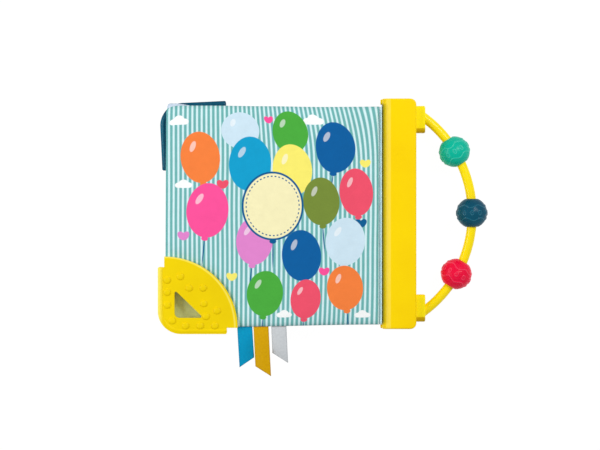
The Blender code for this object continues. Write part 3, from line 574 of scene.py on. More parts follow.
def mouldTeether(name, corner, up, pageZ, finish, body, node, skew=0.0, widen=1.0):
    spec = teether
    half = spec["pocketHalf"] + spec["plate"]
    inner = spec["rimRound"] - spec["rimReach"]
    outline = arcLine((0, 0), spec["radius"], 90, 0, 61)
    long, reach, cut = spec["rimLength"], spec["rimReach"], spec["rimChamfer"]
    outline += [(long, 0), (long, -reach + cut), (long - cut, -reach)]
    outline += arcLine((inner, inner), spec["rimRound"], 270, 180, 19)
    outline += [(-reach, long - cut), (-reach + cut, long), (0, long)]
    piece = filledOutline(name, outline, -half, half)
    bevel = piece.modifiers.new("softEdges", "BEVEL")
    bevel.width = spec["edge"]
    bevel.segments = 4
    bevel.limit_method = "ANGLE"
    bevel.angle_limit = radians(60)

    low, leg, small = spec["windowFromEdge"], spec["windowLeg"], spec["windowRound"]
    wide = spec["windowCorner"]
    tip = small / tan(radians(22.5))
    window = arcLine((low + wide, low + wide), wide, 270, 180, 13)
    window += arcLine((low + small, low + leg - tip), small, 180, 45, 9)
    window += arcLine((low + leg - tip, low + small), small, 45, -90, 9)
    windowCut = filledOutline(name + "Window", window, -2 * half, 2 * half)
    gap = spec["pocketGap"]
    wall = low * 2 + leg + (spec["windowWall"] - gap) * sqrt(2)
    far = spec["radius"] + 3 * mm
    pocket = [(-gap, wall + gap), (wall + gap, -gap), (far, -gap), (far, far), (-gap, far)]
    pocketCut = filledOutline(name + "Pocket", pocket, -spec["pocketHalf"], spec["pocketHalf"])
    cutWith(piece, windowCut, "DIFFERENCE")
    cutWith(piece, pocketCut, "DIFFERENCE")
    settleModifiers(piece)
    for cutter in (windowCut, pocketCut):
        bpy.data.objects.remove(cutter, do_unlink=True)

    bm = bmesh.new()
    bm.from_mesh(piece.data)
    rollRim(bm, spec)
    for shareX, shareY in spec["bumps"]:
        for side in (-1, 1):
            raiseBump(bm, spec, (shareX * spec["radius"], shareY * spec["radius"]), side, half)
    turn = Matrix.Rotation(radians(skew), 4, "Z")
    bm.transform(Matrix.Translation((corner[0], corner[1], pageZ)) @ turn @ Matrix.Diagonal((widen, up, 1, 1)))
    if up < 0:
        bmesh.ops.reverse_faces(bm, faces=bm.faces[:])
    bm.to_mesh(piece.data)
    bm.free()
    piece.data.materials.clear()
    piece.data.materials.append(finish)
    piece.data.shade_smooth()
    piece.data.set_sharp_from_angle(angle=radians(42))
    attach(piece, body)
    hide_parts(node)
    return piece


def rollRim(bm, spec):
    # the rounded roll that runs along the two outer edges, with closed round ends
    wide, tall = spec["rimHalfWidth"], spec["rimHalfHeight"]
    inner, out = spec["rimRound"] - spec["rimReach"], spec["rimReach"] + 0.05 * mm
    heights = [spec["rimLength"] - wide * 0.4 - spec["rimStep"] * k for k in range(20)]
    straight = [(-out + wide, y) for y in heights if y > inner]
    line = straight + arcLine((inner, inner), inner + out - wide, 180, 270, 19)
    line += [(y, x) for x, y in reversed(straight)]
    sides = spec["rimSides"]
    rings = []
    for k, (x, y) in enumerate(line):
        before, after = line[max(k - 1, 0)], line[min(k + 1, len(line) - 1)]
        along = Vector((after[0] - before[0], after[1] - before[1])).normalized()
        across = Vector((along.y, -along.x))
        ring = []
        for i in range(sides):
            turn = 2 * pi * i / sides
            cosine, sine = cos(turn), sin(turn)
            u = wide * copysign(abs(cosine) ** 0.80, cosine)
            v = tall * copysign(abs(sine) ** 0.80, sine)
            ring.append((Vector((x, y)) + across * u, v))
        rings.append((along, ring))

    def laid(ring, shrink, push):
        centre = sum((spot for spot, height in ring), Vector((0, 0))) / len(ring)
        return [bm.verts.new((*(centre + (spot - centre) * shrink + push), height * shrink)) for spot, height in ring]

    first, last = rings[0], rings[-1]
    made = [laid(first[1], s, -first[0] * wide * 0.5 * sqrt(1 - s * s)) for s in (0.35, 0.7, 0.9)]
    made += [laid(ring, 1.0, Vector((0, 0))) for along, ring in rings]
    made += [laid(last[1], s, last[0] * wide * 0.5 * sqrt(1 - s * s)) for s in (0.9, 0.7, 0.35)]
    faces = [bm.faces.new(made[0]), bm.faces.new(list(reversed(made[-1])))]
    for lower, upper in zip(made, made[1:]):
        for i in range(sides):
            j = (i + 1) % sides
            faces.append(bm.faces.new((lower[i], upper[i], upper[j], lower[j])))
    bmesh.ops.recalc_face_normals(bm, faces=faces)


def raiseBump(bm, spec, centre, side, half):
    # one knob: steep at its foot, nearly flat on top
    count, foot = spec["bumpSides"], spec["bumpRadius"]
    rings = []
    for step in range(9):
        angle = radians(90 * step / 8)
        out = foot * cos(angle) ** 0.75
        rise = spec["bumpHeight"] * sin(angle) ** 0.9 if step else -0.3 * mm
        rings.append([bm.verts.new((centre[0] + out * cos(2 * pi * i / count),
                                    centre[1] + out * sin(2 * pi * i / count),
                                    side * (half + rise))) for i in range(count)] if step < 8 else
                     [bm.verts.new((*centre, side * (half + rise)))])
    faces = [bm.faces.new(rings[0])]
    for lower, upper in zip(rings[:-2], rings[1:-1]):
        for i in range(count):
            j = (i + 1) % count
            faces.append(bm.faces.new((lower[i], lower[j], upper[j], upper[i])))
    for i in range(count):
        faces.append(bm.faces.new((rings[-2][i], rings[-2][(i + 1) % count], rings[-1][0])))
    bmesh.ops.recalc_face_normals(bm, faces=faces)


# printed cloth
printSpan = 200.0       # a page's UV map counts in millimetres, divided by this
cotton = {"roughness": 0.9, "sheen": 0.06, "threads": 0.42}
stripe = {"pitch": 3.1, "share": -0.16}      # millimetres, and how far the pale ones are narrowed


def pageCoordinates(tree):
    uv = addNode(tree, "UVMap", uv_map="page")
    scaled = addNode(tree, "VectorMath", {0: uv.outputs[0], 1: (printSpan, printSpan, printSpan)},
                     operation="MULTIPLY")
    return scaled.outputs[0]


def ovalPlace(tree, page, centre, radii, tilt=0.0):
    # the page seen from an oval: its middle is 0 and its outline 1 (Mapping nodes would fill Cycles' stack)
    turned = page
    if tilt:
        turned = addNode(tree, "VectorRotate", {
            "Vector": page, "Center": (*centre, 0), "Angle": -radians(tilt)}, rotation_type="Z_AXIS").outputs[0]
    return addNode(tree, "VectorMath", {
        0: turned, 1: (1 / radii[0], 1 / radii[1], 0), 2: (-centre[0] / radii[0], -centre[1] / radii[1], 0)},
        operation="MULTIPLY_ADD").outputs[0]


def stampEllipse(tree, page, below, centre, radii, tilt, colour, edge=0.14):
    # one oval of colour laid over what is below it
    far = addNode(tree, "VectorMath", {0: ovalPlace(tree, page, centre, radii, tilt)}, operation="LENGTH")
    soft = edge / min(radii)
    share = ranged(tree, far.outputs["Value"], 1 - soft, 1 + soft, 1.0, 0.0, clamp=False)
    return mixColours(tree, share, below, colour)


def clothFinish(name, drawPrint, height=146.5):
    # printed cotton: the print with a random tone and painted shade along the top and bottom seams, a fine weave, and
    # the soft creases of the film below it
    finish, tree, shader = newFinish(name, cotton["roughness"])
    page = pageCoordinates(tree)
    colour = drawPrint(tree, page)
    shade = ranged(tree, speckle(tree, page, 0.16, 4.0), 0.3, 0.7, 0.955, 1.0)
    across, up = split(tree, page)[:2]
    # darker within 3 mm of the top and bottom seams: painted shade of the rounded seam edges
    fromSeam = sums(tree, "MINIMUM", up, sums(tree, "SUBTRACT", height, up))
    shade = times(tree, shade, ranged(tree, fromSeam, 0.3, 3.0, 0.86, 1.0))
    paintedLighting = addNode(tree, "VectorMath", {0: colour, "Scale": shade}, operation="SCALE").outputs[0]
    warp, weft = [sums(tree, "SINE", times(tree, way, 2 * pi / cotton["threads"])) for way in (across, up)]
    weave = times(tree, warp, weft)
    dim = ranged(tree, weave, -1.0, 1.0, 0.965, 1.01)
    woven = addNode(tree, "VectorMath", {0: paintedLighting, "Scale": dim}, operation="SCALE").outputs[0]
    crease = addNode(tree, "TexNoise", {"Vector": page, "Scale": 0.075, "Detail": 3.0, "Distortion": 0.8})
    creases = addNode(tree, "Bump", {"Height": crease.outputs["Fac"], "Strength": 0.5, "Distance": 1.2 * mm})
    fine = addNode(tree, "Bump", {
        "Height": weave, "Strength": 0.3, "Distance": 0.04 * mm, "Normal": creases.outputs[0]})
    plug(tree, shader, {"Base Color": woven, "Normal": fine.outputs[0], "Specular IOR Level": 0.15,
                        "Sheen Weight": cotton["sheen"], "Sheen Roughness": 0.5})
    return finish


def stripes(tree, page):
    wave = sums(tree, "SINE", times(tree, split(tree, page)[0], 2 * pi / stripe["pitch"]))
    share = ranged(tree, wave, stripe["share"] - 0.62, stripe["share"] + 0.50, 0.0, 1.0)
    return mixColours(tree, share, palette["pale"], palette["teal"])


palette = {
    "sky": paint(12, 159, 206), "deepBlue": paint(4, 94, 160), "green": paint(74, 172, 62),
    "olive": paint(118, 140, 56), "coral": paint(240, 82, 108), "pink": paint(252, 82, 156),
    "orchid": paint(226, 134, 206), "yellow": paint(250, 238, 112), "ice": paint(206, 230, 244),
    "orange": paint(247, 130, 62), "cream": paint(247, 240, 190), "navy": paint(2, 92, 146),
    "teal": paint(108, 178, 176), "pale": paint(216, 243, 247), "white": paint(250, 252, 252),
}

# balloons on the front cover: centre and half sizes in millimetres from its lower free corner
balloons = (
    ("ice", (50, 130), (13, 12), 4), ("green", (84, 129), (12, 14), -5), ("orange", (23, 112), (13, 17), 7),
    ("deepBlue", (113, 119), (13, 17), -7), ("sky", (56, 108), (14, 18), -4), ("yellow", (84, 104), (13, 17), 6),
    ("pink", (28, 77), (14, 18), -6), ("coral", (126, 89), (11, 16), 5), ("olive", (103, 83), (12, 16), 4),
    ("orchid", (59, 57), (12, 16), -6), ("ice", (119, 56), (13, 16), -5), ("deepBlue", (90, 47), (13, 17), 5),
    ("orange", (119, 25), (12, 15), 7), ("green", (66, 22), (12, 15), -4), ("coral", (93, 18), (10, 13), -3),
)
creamBalloon = {"centre": (71, 80), "radii": (19, 21.5)}


def drawBalloon(tree, page, below, colour, centre, radii, tilt):
    turn = radians(tilt)
    down = (sin(turn), -cos(turn))
    tail = [centre[k] + down[k] * (radii[1] + 9.0) for k in (0, 1)]
    knot = [centre[k] + down[k] * (radii[1] + 0.7) for k in (0, 1)]
    glint = [centre[0] - radii[0] * 0.38, centre[1] + radii[1] * 0.42]
    below = stampEllipse(tree, page, below, tail, (0.40, 9.0), tilt, palette["navy"])
    below = stampEllipse(tree, page, below, knot, (2.3, 1.5), tilt, palette[colour])
    below = stampEllipse(tree, page, below, centre, radii, tilt, palette[colour])
    tint = [0.55 * c + 0.45 for c in palette[colour][:3]] + [1.0]
    return stampEllipse(tree, page, below, glint, (radii[0] * 0.13, radii[1] * 0.22), tilt - 28, tint)


# small clouds and hearts in the gaps: kind, centre, size, colour
charms = (
    ("cloud", (9, 136), 1.0, "white"), ("cloud", (101, 137), 1.1, "white"), ("heart", (38, 94), 1.0, "coral"),
    ("cloud", (12, 94), 0.9, "white"), ("heart", (129, 68), 1.0, "navy"), ("heart", (105, 36), 0.9, "pink"),
    ("heart", (12, 60), 1.0, "orchid"), ("cloud", (79, 8), 0.8, "white"), ("heart", (132, 108), 0.9, "yellow"),
    ("heart", (70, 137), 0.8, "pink"), ("cloud", (131, 7), 0.8, "white"), ("heart", (44, 33), 0.9, "yellow"),
)


def drawCharm(tree, page, below, kind, centre, size, colour):
    if kind == "cloud":
        puffs = ((-3.6, -0.4, 2.8, 2.0, 0), (3.6, -0.4, 2.8, 2.0, 0), (0, 0.7, 3.6, 3.0, 0), (0, -1.0, 5.4, 1.5, 0))
    else:
        puffs = ((-1.25, 0.2, 2.2, 3.3, 40), (1.25, 0.2, 2.2, 3.3, -40))
    for dx, dy, wide, tall, tilt in puffs:
        spot = (centre[0] + dx * size, centre[1] + dy * size)
        below = stampEllipse(tree, page, below, spot, (wide * size, tall * size), tilt, palette[colour])
    return below


def frontPrint(tree, page):
    below = stripes(tree, page)
    for kind, centre, size, colour in charms:
        below = drawCharm(tree, page, below, kind, centre, size, colour)
    for colour, centre, radii, tilt in balloons:
        below = drawBalloon(tree, page, below, colour, centre, radii, tilt)
    # the pale balloon in the middle, with its dark rim and a dashed line sewn inside it
    centre, radii = creamBalloon["centre"], creamBalloon["radii"]
    below = drawBalloon(tree, page, below, "navy", centre, [r + 1.3 for r in radii], 0)
    below = stampEllipse(tree, page, below, centre, radii, 0, palette["cream"])
    local = ovalPlace(tree, page, centre, radii)
    across, up = split(tree, local)[:2]
    turn = sums(tree, "ARCTAN2", up, across)
    far = addNode(tree, "VectorMath", {0: local}, operation="LENGTH").outputs["Value"]
    ring = ranged(tree, sums(tree, "ABSOLUTE", sums(tree, "SUBTRACT", far, 0.915)), 0.010, 0.026, 1.0, 0.0)
    dash = ranged(tree, sums(tree, "SINE", times(tree, turn, 44.0)), -0.15, 0.15, 0.0, 1.0)
    return mixColours(tree, times(tree, ring, dash), below, palette["navy"])


def dottedPrint(ground, dot, pitch, size):
    def draw(tree, page):
        across, up = split(tree, page)[:2]
        waves = [sums(tree, "COSINE", times(tree, way, 2 * pi / pitch)) for way in (across, up)]
        height = times(tree, waves[0], waves[1])
        share = ranged(tree, height, size - 0.05, size + 0.05, 0.0, 1.0)
        plain = ranged(tree, across, 133.0, 136.0, 1.0, 0.0)      # no dots where the leaf folds
        return mixColours(tree, times(tree, share, plain), ground, dot)
    return draw


def meadowPrint(tree, page):
    # a pale sky over one soft green hill
    across, up = split(tree, page)[:2]
    roll = sums(tree, "SINE", times(tree, across, 2 * pi / 150))
    height = sums(tree, "SUBTRACT", up, times(tree, roll, 8.0))
    sky = dottedPrint(paint(203, 219, 236), paint(238, 246, 252), 11.0, 0.82)(tree, page)
    return mixColours(tree, ranged(tree, height, 43.6, 44.0, 1.0, 0.0), sky, paint(208, 224, 172))


frontCloth = clothFinish("printedCover", frontPrint)
frontLining = clothFinish("coverLining", dottedPrint(paint(232, 238, 240), palette["orange"], 13.0, 0.86))
innerFront = clothFinish("lavenderPage", meadowPrint, 148.1)
innerBack = clothFinish("pinkPage", dottedPrint(paint(248, 196, 214), paint(253, 236, 242), 11.0, 0.82), 148.1)
backLining = clothFinish("backLining", dottedPrint(paint(196, 228, 196), paint(244, 250, 240), 12.0, 0.84))
backCloth = clothFinish("stripedCover", stripes)


# padded leaves
leafShape = {
    **metres(freeX=-154.4, foldX=-15.3, mouthX=-11.3, ramp=18, top=71.8, bottom=-74.7, cornerRound=3.2, puff=11,
             webHalf=0.6, webReach=47.7, step=2.4, seamRow=0.7, pucker=0.26, puckerPitch=7.5, wander=0.35,
             rollRadius=2.06, rollFlat=8, rollRamp=22),
    "crownShare": 0.10, "slimmer": 0.12,
}
leaves = {
    "back_cover": {
        **metres(pageZ=3.65, foldZ=6.4, hemZ=9.1, half=3.35, rise=0.0, inset=0.0, floor=0.1, ceiling=7.25),
        "teether": -1, "finishes": [backLining, backCloth], "seed": 11.0, "slot": "cover_cloth"},
    "inner_leaf": {
        **metres(pageZ=11.0, foldZ=11.0, hemZ=11.0, half=3.2, rise=1.6, inset=0.9, floor=7.6, ceiling=14.4),
        "teether": 0, "finishes": [innerFront, innerBack], "seed": 23.0, "slot": "leaf_cloth"},
    "front_cover": {
        **metres(pageZ=18.35, foldZ=16.7, hemZ=12.9, half=3.4, rise=0.0, inset=0.0, floor=14.55, ceiling=22.4),
        "teether": 1, "finishes": [frontCloth, frontLining], "seed": 37.0, "slot": "cover_cloth"},
}
# how far the sewn top edge of the front cover dips, in millimetres, along its length
coverDip = ((-154.4, 1.5), (-146.0, 0.2), (-125.0, 0.2), (-90.0, 0.6), (-51.0, 1.1), (-8.0, 0.8))
swelling = {"pressure": 4.0, "frames": 20, "cap": 0.42 * mm, "growth": 0.012, "mass": 0.2, "stiffness": 15.0,
            "bending": 0.05, "quality": 6,
            # this share of the points moves by the cap or less, and none by more than this many caps
            "withinCap": 0.95, "mostCaps": 1.3}


def sewnOutline(name, x, y):
    # where a point of the flat pattern lies once the leaf is sewn: no edge stays quite straight
    shape, leaf = leafShape, leaves[name]
    top, bottom = shape["top"] + leaf["rise"], shape["bottom"]
    high = clamped((y - bottom) / (top - bottom))
    if name == "front_cover":
        dip = coverDip[-1][1]
        for (x0, d0), (x1, d1) in zip(coverDip, coverDip[1:]):
            if x / mm <= x1:
                dip = d0 + (d1 - d0) * ease((x / mm - x0) / (x1 - x0))
                break
        lift = 1.4 * mm * ease((x + 110 * mm) / (95 * mm))
        away = 1 - clamped((x - shape["freeX"]) / (60 * mm))
        return x + 0.6 * mm * high ** 2 * away, y - dip * mm * high ** 2 + lift * (1 - high) ** 2
    lift = 2.1 * mm * ease((x + 120 * mm) / (85 * mm)) * (1 - high) ** 2
    if name == "inner_leaf":
        return x, y - 3.3 * mm * ease((x + 150 * mm) / (24 * mm)) * high ** 3 + lift
    slip = clamped((shape["foldX"] - x) / (139 * mm)) ** 2.2
    fall = 2.9 * mm * slip + 1.7 * mm * ease((x + 130 * mm) / (60 * mm))
    return x + 0.3 * mm * slip * high, y - fall * high + lift


def spaced(low, high, seams):
    # even steps, and one more close to each sewn edge, which keeps the seam crisp
    count = round((high - low) / leafShape["step"])
    places = [low + (high - low) * k / count for k in range(count + 1)]
    places.insert(1, low + leafShape["seamRow"])
    if seams > 1:
        places.insert(-1, high - leafShape["seamRow"])
    return places


def sewLeaf(name, leaf):
    # two printed sheets joined at their seams, padded between them, thin at the bar
    shape = leafShape
    free = shape["freeX"] + leaf["inset"]
    top, bottom = shape["top"] + leaf["rise"], shape["bottom"]
    rolled = name == "front_cover"
    end = shape["foldX"] if rolled else shape["mouthX"] + 2.5 * mm
    cornerY = {1: bottom, -1: top, 0: None}[leaf["teether"]]
    across = [(x, 0.0) for x in spaced(free, end, 1)]
    upward = spaced(bottom, top, 2)
    rows = len(upward) - 1
    if rolled:
        across += [(end, radians(angle)) for angle in (15, 30, 45, 60, 75, 90)]

    def rootShare(x):
        # 0 at the fold, 1 where the leaf has its full thickness
        if rolled:
            return ease((shape["foldX"] - x - shape["rollFlat"]) / shape["rollRamp"])
        return ease((shape["foldX"] - x) / shape["ramp"])

    def middle(x):
        if x > shape["foldX"]:
            share = ease((x - shape["foldX"]) / (shape["mouthX"] - 1.2 * mm - shape["foldX"]))
            return leaf["foldZ"] + (leaf["hemZ"] - leaf["foldZ"]) * share
        return leaf["foldZ"] + (leaf["pageZ"] - leaf["foldZ"]) * rootShare(x)

    def halfThickness(x, y):
        puff = shape["puff"]
        slopes = [max(0.0, 1 - (x - free) / puff), max(0.0, 1 - (top - y) / puff), max(0.0, 1 - (y - bottom) / puff)]
        least = 0.25 * mm
        if cornerY is not None:
            far = hypot(x - free, y - cornerY) - shape["webReach"]
            slopes.append(clamped(1 - far / (0.8 * puff)))
            inside = ease(min(x - free, abs(y - cornerY)) / (3 * mm))
            least += (shape["webHalf"] - least) * ease(1 - far / (2 * mm)) * inside
        near = sum(s ** 4 for s in slopes) ** 0.25
        rise = sqrt(max(0.0, 1 - min(near, 1.0) ** 2))
        along = clamped((x - free) / (shape["foldX"] - free))
        high = (y - bottom) / (top - bottom)
        crown = 1 - shape["crownShare"] + shape["crownShare"] * sin(pi * along) * sin(pi * high)
        root = rootShare(x)
        thin = shape["rollRadius"] if rolled else 0.75 * mm
        full = leaf["half"] * (1 - shape["slimmer"] * rise) * crown * root + thin * (1 - root)
        return max(full * rise, least)

    def softMap(x, y):
        # round the two free corners
        size = shape["cornerRound"]
        fromFree, fromTop, fromBottom = x - free, top - y, y - bottom
        for sign, fromEdge in ((1, fromTop), (-1, fromBottom)):
            if fromFree < size and fromEdge < size:
                u, v = 1 - fromFree / size, 1 - fromEdge / size
                u, v = u * sqrt(1 - v * v / 2), v * sqrt(1 - u * u / 2)
                x = free + size * (1 - u)
                y = top - size * (1 - v) if sign > 0 else bottom + size * (1 - v)
        return sewnOutline(name, x, y)

    bm = bmesh.new()
    page = bm.loops.layers.uv.new("page")
    flatX, flatY = bm.verts.layers.float.new("flatX"), bm.verts.layers.float.new("flatY")
    sheets = []
    for side in (1, -1):
        grid = []
        for j in range(rows + 1):
            line = []
            y = upward[j]
            for i, (x, turn) in enumerate(across):
                rim = i in (0, len(across) - 1) or j in (0, rows)
                if side < 0 and rim:
                    line.append(sheets[0][j][i])
                    continue
                half = 0.0 if rim else halfThickness(x, y) * cos(turn)
                fromEdge = min(x - free, top - y, y - bottom)
                wave = noise.noise(Vector((x * 90, y * 90, leaf["seed"] + side)))
                beside = x if min(top - y, y - bottom) < x - free else y
                drift = 5 * noise.noise(Vector((x * 40, y * 40, leaf["seed"])))
                pucker = sin(2 * pi * beside / shape["puckerPitch"] + drift)
                fade = exp(-fromEdge / (5 * mm)) * ease(fromEdge / (3 * mm)) * rootShare(x)
                z = middle(x) + side * half + side * shape["pucker"] * pucker * fade
                z += 0.12 * mm * wave * ease(half / (2 * mm)) * rootShare(x)
                placeX, placeY = softMap(x, y)
                if rim and x < shape["foldX"] - 10 * mm:
                    z += shape["wander"] * noise.noise(Vector((x * 30, y * 30, leaf["seed"] + 5)))
                vert = bm.verts.new((placeX + shape["rollRadius"] * sin(turn), placeY, z))
                vert[flatX], vert[flatY] = x + shape["rollRadius"] * turn, y
                line.append(vert)
            grid.append(line)
        sheets.append(grid)
    for side, grid in zip((1, -1), sheets):
        for j in range(rows):
            for i in range(len(across) - 1):
                loop = [grid[j][i], grid[j][i + 1], grid[j + 1][i + 1], grid[j + 1][i]]
                face = bm.faces.new(loop if side > 0 else reversed(loop))
                face.material_index = 0 if side > 0 else 1
                for corner in face.loops:
                    corner[page].uv = pageSpot(name, corner.vert[flatX], corner.vert[flatY])

    # the corner behind the teether's window is cut away
    if cornerY is not None:
        reach = 2 * teether["windowFromEdge"] + teether["windowLeg"] + teether["windowWall"] * sqrt(2)
        outward = Vector((-1, -leaf["teether"], 0)).normalized()
        bmesh.ops.bisect_plane(bm, geom=bm.verts[:] + bm.edges[:] + bm.faces[:],
                               plane_co=(free + reach, cornerY, 0), plane_no=outward, clear_outer=True)
        bmesh.ops.holes_fill(bm, edges=[e for e in bm.edges if e.is_boundary])
    return placeMesh(name + "Leaf", bm, leaf["finishes"], recalc=False)


def pageSpot(name, x, y):
    # the printed page at a point of the pattern: the stripes lean a little as the cloth was sewn
    shape, leaf = leafShape, leaves[name]
    top, bottom = shape["top"] + leaf["rise"], shape["bottom"]
    shift = 0.0
    if name != "inner_leaf":
        lean = ease((x + 132 * mm) / (100 * mm)) * (1 - 0.55 * ease((x + 30 * mm) / (18 * mm)))
        shift = 6.0 * mm * lean * max(0.0, 1 - (top - y) / (36 * mm)) ** 1.6
        shift += 1.3 * mm * lean * max(0.0, 1 - (y - bottom) / (40 * mm)) ** 1.5
        shift += 0.35 * mm * noise.noise(Vector((x * 22, y * 22, leaf["seed"])))
    return (x + shift - shape["freeX"]) / mm / printSpan, (y - bottom) / mm / printSpan


def swellLeaf(name, piece):
    # fill the sewn case with air, held at its seams, its teether and the bar, and keep a small share of that
    shape, leaf, mesh = leafShape, leaves[name], piece.data
    free, cornerY = shape["freeX"] + leaf["inset"], shape["bottom"] if leaf["teether"] > 0 else shape["top"]
    flat = list(zip(*([a.value for a in mesh.attributes[layer].data] for layer in ("flatX", "flatY"))))
    start = [vert.co.copy() for vert in mesh.vertices]
    held = []
    for index, (x, y) in enumerate(flat):
        fromEdge = min(x - free, shape["top"] + leaf["rise"] - y, y - shape["bottom"])
        clamped = leaf["teether"] and hypot(x - free, y - cornerY) < shape["webReach"] + 1 * mm
        if fromEdge < 0.9 * mm or x > shape["foldX"] - 3 * mm or clamped:
            held.append(index)
    piece.vertex_groups.new(name="sewn").add(held, 1.0, "REPLACE")
    cloth = piece.modifiers.new("swelling", "CLOTH")
    settings = cloth.settings
    settings.quality = swelling["quality"]
    settings.mass = swelling["mass"]
    settings.tension_stiffness = settings.compression_stiffness = swelling["stiffness"]
    settings.bending_stiffness = swelling["bending"]
    settings.use_pressure = True
    settings.uniform_pressure_force = swelling["pressure"]
    settings.effector_weights.gravity = 0
    settings.shrink_min = -swelling["growth"]
    settings.vertex_group_mass = "sewn"
    cloth.collision_settings.use_collision = False
    cloth.point_cache.frame_start, cloth.point_cache.frame_end = 1, swelling["frames"]
    for number in range(1, swelling["frames"] + 1):
        bpy.context.scene.frame_set(number)
    shown = piece.evaluated_get(bpy.context.evaluated_depsgraph_get()).data
    moves = [vert.co - before for vert, before in zip(shown.vertices, start)]
    sizes = sorted(move.length for move in moves)
    scale = min(1.0, swelling["cap"] / max(sizes[int(len(sizes) * swelling["withinCap"])], 1e-9))
    most = swelling["mostCaps"] * swelling["cap"]
    print(name, "swelled by", round(sizes[-1] / mm, 2), "mm, kept at", round(scale, 3))
    piece.modifiers.clear()
    piece.vertex_groups.clear()
    bpy.context.scene.frame_set(1)
    for vert, before, move in zip(mesh.vertices, start, moves):
        step = move * scale
        if step.length > most:
            step *= most / step.length
        vert.co = before + step
        if before.x < shape["foldX"] - shape["ramp"]:
            vert.co.z = min(max(vert.co.z, leaf["floor"]), leaf["ceiling"])
    for layer in ("flatX", "flatY"):
        mesh.attributes.remove(mesh.attributes[layer])


def finishLeaf(name, piece):
    swellLeaf(name, piece)
    subdivision = piece.modifiers.new("rounder", "SUBSURF")
    subdivision.levels = subdivision.render_levels = 1
    settleModifiers(piece)
    piece.data.shade_smooth()
    nodes = [name + "_cloth", name + "_wadding", name + "_crinkle_film"]
    if name != "front_cover":
        nodes.append(name + "_hem")
    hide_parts(*nodes)
    if name == "front_cover":
        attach(piece, name)
    else:
        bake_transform(piece)


for name, leaf in leaves.items():
    finishLeaf(name, sewLeaf(name, leaf))
print("leaves sewn and swelled")

mouldTeether("yellowTeether", (leafShape["freeX"] - 0.5 * mm, leafShape["bottom"] - 0.5 * mm), 1,
             leaves["front_cover"]["pageZ"], yellowSilicone, "front_cover", "yellow_corner_teether",
             widen=1.03)
mouldTeether("tealTeether", (leafShape["freeX"] + 0.1 * mm, leafShape["top"] - 3.0 * mm), -1,
             leaves["back_cover"]["pageZ"], tealSilicone, "back_cover", "teal_corner_teether", 2.7)
print("teethers moulded")


# front hem: the cover's cloth tucked down between its round root and the bar
hem = {
    # section from inside the mouth, up beside the bar's flank, down the leaf's root and back, in millimetres
    "section": ((-8.5, 12.3), (-8.5, 13.6), (-11.1, 13.65), (-11.5, 13.9), (-11.6, 14.8), (-11.5, 16.0), (-11.3, 17.0),
                (-11.35, 17.45), (-11.6, 17.6), (-11.85, 17.35), (-12.08, 17.0), (-12.35, 16.7), (-12.66, 16.3),
                (-13.0, 15.9), (-13.33, 15.5), (-13.75, 15.0), (-14.3, 14.5), (-14.4, 14.2), (-13.9, 13.7),
                (-13.0, 13.0), (-11.8, 12.4)),
    # the pale stripe in the tuck is painted light against the tuck's shade
    "rows": 60, "inset": 0.35 * mm, "paleAt": 141.8,       # a pale stripe lies in the tuck
}


def tuckHem(spec):
    shape = leafShape
    bm = bmesh.new()
    page = bm.loops.layers.uv.new("page")
    low = sewnOutline("front_cover", shape["foldX"], shape["bottom"])[1] + spec["inset"]
    high = sewnOutline("front_cover", shape["foldX"], shape["top"])[1] - spec["inset"]
    rings = []
    for j in range(spec["rows"] + 1):
        y = low + (high - low) * j / spec["rows"]
        ripple = 0.12 * mm * noise.noise(Vector((y * 260, 3, 7)))
        rings.append([bm.verts.new((x * mm + (ripple if -13.4 < x < -11.7 else 0.0), y, z * mm))
                      for x, z in spec["section"]])
    loft(bm, rings)
    for face in bm.faces:
        for corner in face.loops:
            spot = corner.vert.co
            # the print is stretched to a fifth across the tuck, so its pale stripe fills it: painted light against its
            # shade
            across, up = spec["paleAt"] + 0.2 * (spot.x / mm + 12.4), (spot.y - shape["bottom"]) / mm
            corner[page].uv = (across / printSpan, up / printSpan)
    tuck = placeMesh("frontHem", bm, [frontCloth])
    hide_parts("front_cover_hem")
    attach(tuck, "root")


tuckHem(hem)


# ribbons
ribbons = {
    **metres(width=10, slant=6.6, thickness=0.35, seamDepth=1.2, belowPage=0.8, curl=0.35, ripple=0.5),
    "droopShare": 0.20, "columns": 10, "rows": 34,
    # left edge at the seam, length, side of the longer tip, lean, colours
    "each": {
        "blue": (-106.9 * mm, 23.4 * mm, -1, 0.055, paint(0, 154, 198), paint(0, 138, 184)),
        "yellow": (-96.2 * mm, 29.3 * mm, 1, 0.050, paint(218, 168, 0), paint(204, 152, 0)),
        "white": (-84.4 * mm, 20.4 * mm, 1, 0.045, paint(206, 210, 213), paint(190, 195, 199)),
    },
}


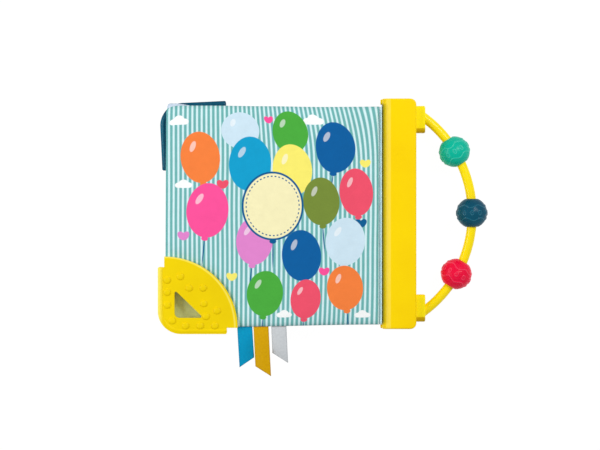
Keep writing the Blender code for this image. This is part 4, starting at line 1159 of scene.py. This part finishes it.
def satinFinish(name, colour, deeper):
    finish, tree, shader = newFinish(name, 0.38)
    uv = addNode(tree, "UVMap", uv_map="page").outputs[0]
    across, along = split(tree, uv)[:2]
    rib = sums(tree, "SINE", times(tree, along, 2 * pi * 60))
    drift = ranged(tree, speckle(tree, uv, 7.0), 0.3, 0.7, 0.0, 0.6)
    # a random drift in tone, and darker along both long edges: painted shade
    fromMiddle = sums(tree, "ABSOLUTE", sums(tree, "SUBTRACT", across, 0.5))
    share = sums(tree, "MAXIMUM", drift, ranged(tree, fromMiddle, 0.40, 0.46, 0.0, 0.6))
    bump = addNode(tree, "Bump", {"Height": rib, "Strength": 0.25, "Distance": 0.03 * mm}).outputs[0]
    plug(tree, shader, {"Base Color": mixColours(tree, share, colour, deeper), "Normal": bump,
                        "Specular IOR Level": 0.10, "Sheen Weight": 0.03})
    return finish


def sewRibbons(spec):
    cover = leaves["front_cover"]
    for index, (colour, (left, length, slantSide, lean, tone, deeper)) in enumerate(spec["each"].items()):
        seam = leafShape["bottom"] + spec["seamDepth"]
        full = length + spec["seamDepth"]
        bm = bmesh.new()
        page = bm.loops.layers.uv.new("page")
        columns, rows = spec["columns"], spec["rows"]
        grid, spots = [], {}
        for j in range(rows + 1):
            line = []
            for i in range(columns + 1):
                across = i / columns - 0.5
                along = j / rows
                reach = full + slantSide * spec["slant"] * across
                curl = spec["curl"] * cos(2 * pi * across) * ease(along * 2)
                ripple = spec["ripple"] * sin(5.5 * along + index * 1.9) * along
                vert = bm.verts.new((
                    left + spec["width"] * (across + 0.5) + lean * reach * along,
                    seam - reach * along,
                    cover["pageZ"] - spec["belowPage"] - spec["droopShare"] * length * along * along + curl + ripple))
                spots[vert] = (across + 0.5, reach * along / spec["width"])
                line.append(vert)
            grid.append(line)
        for j in range(rows):
            for i in range(columns):
                face = bm.faces.new((grid[j][i], grid[j + 1][i], grid[j + 1][i + 1], grid[j][i + 1]))
                for corner in face.loops:
                    corner[page].uv = spots[corner.vert]
        ribbon = placeMesh(colour + "Ribbon", bm, [satinFinish(colour + "Satin", tone, deeper)], recalc=False)
        thick = ribbon.modifiers.new("thickness", "SOLIDIFY")
        thick.thickness = spec["thickness"]
        thick.offset = 0
        settleModifiers(ribbon)
        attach(ribbon, "front_cover")
        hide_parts("ribbon_" + colour)


sewRibbons(ribbons)
print("ribbons sewn")
